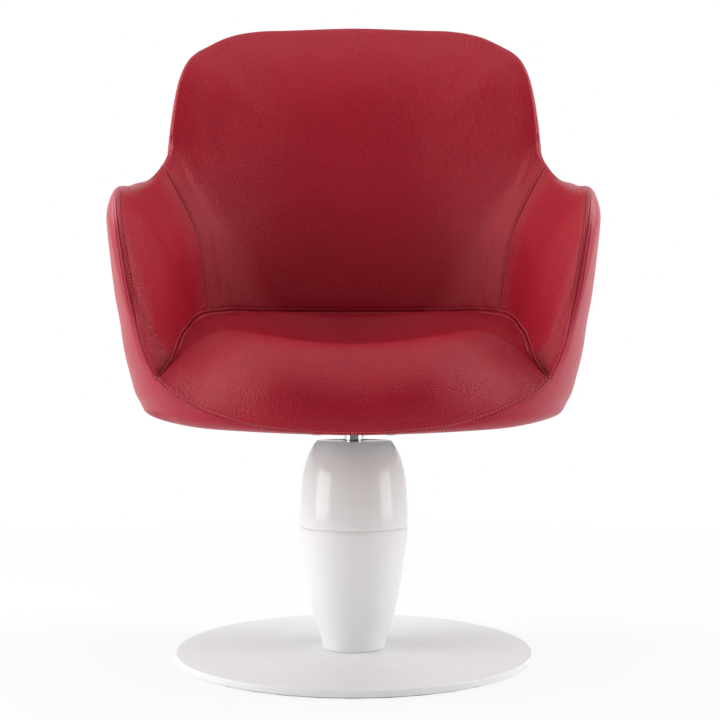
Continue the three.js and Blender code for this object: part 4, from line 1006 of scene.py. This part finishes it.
def swollen(name, whole):
    """How far each point of a panel moves when it swells, capped, as a grid of vectors."""
    # An arm runs to a point in front, where its first lines are too short for cloth.
    skip = SHORT_LINES if name.startswith("arm") else 0
    grid = whole[skip:]
    kept, kept_along = spread(grid, 0), spread(grid, 1)
    coarse = grid[kept][:, kept_along]
    tall, wide = coarse.shape[:2]
    faces = grid_faces(tall, wide)
    middle = (tall // 2, wide // 2)
    if (grid_normals(coarse)[middle] * facing(name, coarse)[middle]).sum() < 0:
        faces = faces[:, ::-1]
    cloth = mesh_object("cloth_" + name, coarse.reshape(-1, 3), faces, cold_foam)
    held = cloth.vertex_groups.new(name="seams")
    index = np.arange(tall * wide).reshape(tall, wide)
    border = np.unique(np.concatenate([index[0], index[-1], index[:, 0], index[:, -1]]))
    held.add([int(i) for i in border], 1.0, "REPLACE")
    cloth.modifiers.new("cloth", "CLOTH")
    settings = cloth.modifiers["cloth"].settings
    settings.vertex_group_mass = "seams"
    settings.quality = 6
    settings.mass = 0.4
    settings.tension_stiffness = settings.compression_stiffness = 30
    settings.shear_stiffness = 15
    settings.bending_stiffness = 4
    settings.use_pressure = True
    settings.uniform_pressure_force = PRESSURE
    settings.shrink_min = -0.012
    settings.effector_weights.gravity = 0
    cloth.modifiers["cloth"].collision_settings.use_collision = False
    scene = bpy.context.scene
    for step in range(1, CLOTH_FRAMES + 1):
        scene.frame_set(step)
    blown = cloth.evaluated_get(bpy.context.evaluated_depsgraph_get()).data
    moved = np.empty(tall * wide * 3)
    blown.vertices.foreach_get("co", moved)
    shift = moved.reshape(tall, wide, 3) - coarse
    size = np.linalg.norm(shift, axis=2, keepdims=True)
    shift *= SWELL * np.tanh(size / SWELL) / np.maximum(size, 1e-9)
    bpy.data.objects.remove(cloth, do_unlink=True)
    scene.frame_set(1)
    for _ in range(EASINGS):
        inner = (shift[:-2, 1:-1] + shift[2:, 1:-1] + shift[1:-1, :-2] + shift[1:-1, 2:]) / 4
        shift[1:-1, 1:-1] = mix(shift[1:-1, 1:-1], inner, 0.5)
    row = np.interp(np.arange(grid.shape[0]), kept, np.arange(tall))
    column = np.interp(np.arange(grid.shape[1]), kept_along, np.arange(wide))
    found = between(shift, *np.meshgrid(row, column, indexing="ij"))
    return np.concatenate([np.zeros((skip, grid.shape[1], 3)), found])


def from_seams(grid):
    """Distance from each point of a grid to the nearest seam."""
    return np.array([seam_tree.find(p)[2] for p in grid.reshape(-1, 3)]).reshape(grid.shape[:2])


def leather(name, colour, shade, roughness, shine, cell, depth):
    """Dyed, embossed cowhide: small raised pebbles with fine creases between them. The colour is painted
    darker in the creases as painted shade, and goes towards the darker colour in random patches, which are
    the leather's own tone. cell is in mm.
    """
    material, tree = new_material(name)
    place = object_coordinates(tree)
    warp = node(tree, "ShaderNodeTexNoise", {"Vector": place, "Scale": 1 / (cell * 2.2), "Detail": 2.0})
    moved = node(tree, "ShaderNodeVectorMath", {0: warp.outputs["Color"], 1: (cell,) * 3, 2: place},
                 operation="MULTIPLY_ADD")
    cells = node(tree, "ShaderNodeTexVoronoi", {"Vector": moved.outputs[0], "Scale": 1 / cell,
                                                "Smoothness": 0.6}, feature="SMOOTH_F1")
    creases = node(tree, "ShaderNodeTexNoise", {"Vector": place, "Scale": 1 / (cell * 0.45), "Detail": 3.0})
    cloud = node(tree, "ShaderNodeTexNoise", {"Vector": place, "Scale": 1 / 90, "Detail": 4.0})
    height = node(tree, "ShaderNodeMath", {0: cells.outputs["Distance"], 1: -0.75,
                                           2: creases.outputs["Fac"]}, operation="MULTIPLY_ADD")
    patch = node(tree, "ShaderNodeMapRange", {"Value": cloud.outputs["Fac"], "From Min": 0.35,
                                              "From Max": 0.65, "To Min": 0.0, "To Max": 0.15})
    # Painted shade: the colour is darkened in the creases between the pebbles.
    crease_shade = node(tree, "ShaderNodeMapRange", {"Value": cells.outputs["Distance"], "From Min": 0.35,
                                               "From Max": 0.8, "To Min": 0.0, "To Max": 0.45})
    # Random patches of the leather's own darker tone, added to the painted crease shade.
    patches_and_crease_shade = node(tree, "ShaderNodeMath", {0: patch.outputs[0], 1: crease_shade.outputs[0]}, operation="ADD",
                 use_clamp=True)
    tone = node(tree, "ShaderNodeMix", {"Factor": patches_and_crease_shade.outputs[0], "A": linear(colour), "B": linear(shade)},
                data_type="RGBA")
    rough = node(tree, "ShaderNodeMapRange", {"Value": height.outputs[0], "From Min": -0.2, "From Max": 0.5,
                                              "To Min": roughness + 0.08, "To Max": roughness - 0.04})
    relief = node(tree, "ShaderNodeBump", {"Height": height.outputs[0], "Strength": 0.9, "Distance": depth})
    surface = node(tree, "ShaderNodeBsdfPrincipled", {
        "Base Color": tone.outputs["Result"], "Roughness": rough.outputs[0], "IOR": 1.45,
        "Specular IOR Level": shine, "Normal": relief.outputs[0]})
    node(tree, "ShaderNodeOutputMaterial", {"Surface": surface.outputs[0]})
    return material


inside_leather = leather("red_grained_leather", "#aa172b", "#870f22", roughness=0.30, shine=0.24, cell=2.8,
                         depth=0.0009)


def slab(name, front, back, material):
    """A closed piece between two grids of points."""
    tall, wide = front.shape[:2]
    count = tall * wide
    index = np.arange(count).reshape(tall, wide)
    skin = grid_faces(tall, wide)
    ring = np.concatenate([index[:, 0], index[-1, 1:], index[-2::-1, -1], index[0, -2:0:-1]])
    after = np.roll(ring, -1)
    edge = np.stack([ring, ring + count, after + count, after], -1)
    faces = [skin, skin[:, ::-1] + count, edge]
    points = np.vstack([front.reshape(-1, 3), back.reshape(-1, 3)])
    made = mesh_object(name, points, np.vstack(faces), material)
    face_outwards(made, merge=2e-6)
    return made


pad_nodes = {"seat_pad": ("seat_cover", "seat_foam"), "back_pad": ("back_cover", "back_foam"),
             "arm_pad_right": ("right_arm_cover", "right_arm_foam"),
             "arm_pad_left": ("left_arm_cover", "left_arm_foam")}
pad_fronts = {}
for name, grid in inside_grids.items():
    normals = panel_normals[name]
    if name == "arm_pad_left":
        # The left arm is the right one mirrored.
        front = pad_fronts["arm_pad_right"][::-1] * (-1, 1, 1)
    else:
        shift = swollen(name, grid)
        front = dipped(grid, normals) + shift
    pad_fronts[name] = front
    depth = LEATHER + (PAD_DEPTH[name] - LEATHER) * np.tanh(from_seams(grid) / PAD_REACH)
    pad = slab(name, front, front - normals * depth[..., None], inside_leather)
    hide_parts(*pad_nodes[name])
    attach(pad, "chair")


# Outside cover, drawn on: smooth leather with no foam behind it, sewn to the inside cover along the
# rim, with an upright seam behind each arm, and stapled under the floor.

outside_leather = leather("red_smooth_leather", "#a82037", "#981b30", roughness=0.32, shine=0.26, cell=2.2,
                          depth=0.0003)
outside_nodes = {"outer_leather_right": "outer_cover_right", "outer_leather_back": "outer_cover_back",
                 "outer_leather_left": "outer_cover_left"}
for name, grid in outside_grids.items():
    normals = panel_normals[name]
    front = dipped(grid, normals)
    cover = slab(name, front, front - normals * LEATHER, outside_leather)
    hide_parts(outside_nodes[name])
    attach(cover, "chair")


# Topstitching: red bonded thread in a lockstitch of 4.6 mm, one row inside the rim and a row on
# each side of every seam of the inside cover. Geometry Nodes lay a bead of thread for each stitch.

STITCH_PITCH = 0.0046
STITCH_LENGTH = 0.0033
THREAD = 0.0012
STITCH_LIFT = THREAD * 0.3
STITCH_MISS = STITCH_OFFSET * 0.8
PANEL_GAP = 0.004
thread = finish_of("red_bonded_thread", "#cf5f6b", 0.5, grit=0.35, bump=0.5, wear=0.1, fuzz=0.1)


def stitch_tree(name, material):
    """Geometry Nodes: stitches at an even pitch along each curve, each laid along it."""
    tree = bpy.data.node_groups.new(name, "GeometryNodeTree")
    for label, kind, direction in (("Geometry", "NodeSocketGeometry", "INPUT"),
                                   ("Pitch", "NodeSocketFloat", "INPUT"),
                                   ("Length", "NodeSocketFloat", "INPUT"),
                                   ("Thickness", "NodeSocketFloat", "INPUT"),
                                   ("Geometry", "NodeSocketGeometry", "OUTPUT")):
        tree.interface.new_socket(label, in_out=direction, socket_type=kind)
    given = node(tree, "NodeGroupInput")
    points = node(tree, "GeometryNodeCurveToPoints", {"Curve": given.outputs["Geometry"],
                                                      "Length": given.outputs["Pitch"]}, mode="LENGTH")
    turn = node(tree, "FunctionNodeAlignRotationToVector", {"Vector": points.outputs["Tangent"]}, axis="Z")
    bead = node(tree, "GeometryNodeMeshUVSphere", {"Segments": 6, "Rings": 5, "Radius": 0.5})
    smooth = node(tree, "GeometryNodeSetShadeSmooth", {"Geometry": bead.outputs["Mesh"]})
    size = node(tree, "ShaderNodeCombineXYZ", {
        "X": given.outputs["Thickness"], "Y": given.outputs["Thickness"], "Z": given.outputs["Length"]})
    placed = node(tree, "GeometryNodeInstanceOnPoints", {
        "Points": points.outputs["Points"], "Instance": smooth.outputs["Geometry"],
        "Rotation": turn.outputs["Rotation"], "Scale": size.outputs[0]})
    real = node(tree, "GeometryNodeRealizeInstances", {"Geometry": placed.outputs[0]})
    dyed = node(tree, "GeometryNodeSetMaterial", {"Geometry": real.outputs[0], "Material": material})
    node(tree, "NodeGroupOutput", {"Geometry": dyed.outputs[0]})
    return tree


def sewn(name, paths, tree, values):
    """Runs a tree along the paths and turns the result into a plain mesh."""
    curve = bpy.data.curves.new(name, "CURVE")
    curve.dimensions = "3D"
    for line in paths:
        spline = curve.splines.new("POLY")
        spline.points.add(len(line) - 1)
        spline.points.foreach_set("co", np.hstack([line, np.ones((len(line), 1))]).ravel())
    guide = bpy.data.objects.new(name + "_path", curve)
    bpy.context.scene.collection.objects.link(guide)
    work = guide.modifiers.new("stitches", "NODES")
    work.node_group = tree
    for item in tree.interface.items_tree:
        if item.in_out == "INPUT" and item.name in values:
            work[item.identifier] = values[item.name]
    bpy.context.view_layer.update()
    shown = bpy.context.evaluated_depsgraph_get()
    mesh = bpy.data.meshes.new_from_object(guide.evaluated_get(shown), depsgraph=shown)
    mesh.name = name
    made = bpy.data.objects.new(name, mesh)
    bpy.context.scene.collection.objects.link(made)
    bpy.data.objects.remove(guide, do_unlink=True)
    return made


def surface_of(front):
    """A panel's finished skin, on which the nearest place can be found."""
    faces = grid_faces(*front.shape[:2])
    return BVHTree.FromPolygons([Vector(p) for p in front.reshape(-1, 3)], faces.tolist())


surfaces = {name: surface_of(front) for name, front in pad_fronts.items()}


def beside(line, name):
    """Lines on a panel's skin, at the stitches' distance from a seam. They stop where the panel does."""
    tangent = np.gradient(line, axis=0)
    tangent /= np.maximum(np.linalg.norm(tangent, axis=1, keepdims=True), 1e-12)
    skin = surfaces[name]
    across, out = {}, {}
    # The side of the seam that the panel lies on is the one nearer to its skin at most points.
    votes = 0
    for i, p in enumerate(line):
        _, k, gap = edge_trees[name].find(p)
        if gap > PANEL_GAP:
            continue
        out[i] = Vector(edge_normals[name][k])
        across[i] = Vector(np.cross(edge_normals[name][k], tangent[i])).normalized()
        miss, other = (skin.find_nearest(Vector(p) + across[i] * side * STITCH_OFFSET)[3] for side in (1, -1))
        votes += 1 if miss < other else -1
    side = 1 if votes >= 0 else -1
    stretches, stretch = [], []
    for i, p in enumerate(line):
        if i not in across:
            stretches.append(stretch)
            stretch = []
            continue
        spot, normal, _, miss = skin.find_nearest(Vector(p) + across[i] * side * STITCH_OFFSET)
        if miss > STITCH_MISS:
            continue
        normal = normal if normal.dot(out[i]) > 0 else -normal
        stretch.append(spot + normal * STITCH_LIFT)
    stretches.append(stretch)
    return [np.array(points) for points in stretches if len(points) > 3]


lockstitch = stitch_tree("lockstitch", thread)
stitch_rows = {
    "stitches_rim": [("rim", name) for name in inside_grids],
    "stitches_sides": [("right_side", "arm_pad_right"), ("right_side", "back_pad"),
                       ("left_side", "arm_pad_left"), ("left_side", "back_pad")],
    "stitches_seat": [("seat_edge", name) for name in inside_grids],
}
for name, pairs in stitch_rows.items():
    paths = []
    for key, panel in pairs:
        paths += beside(seams[key][0][::4], panel)
    stitches = sewn(name, paths, lockstitch, {"Pitch": STITCH_PITCH, "Length": STITCH_LENGTH,
                                              "Thickness": THREAD})
    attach(stitches, "chair")


# Underside: red non-woven cloth over the hole in the shell, stapled along its edge. It shows in
# the gloss of the pedestal below it.

red_cloth = finish_of("red_non_woven_cloth", "#8c1528", 0.9, grit=0.9, bump=0.6, wear=0.2)
dress(["underside_cover"], red_cloth)
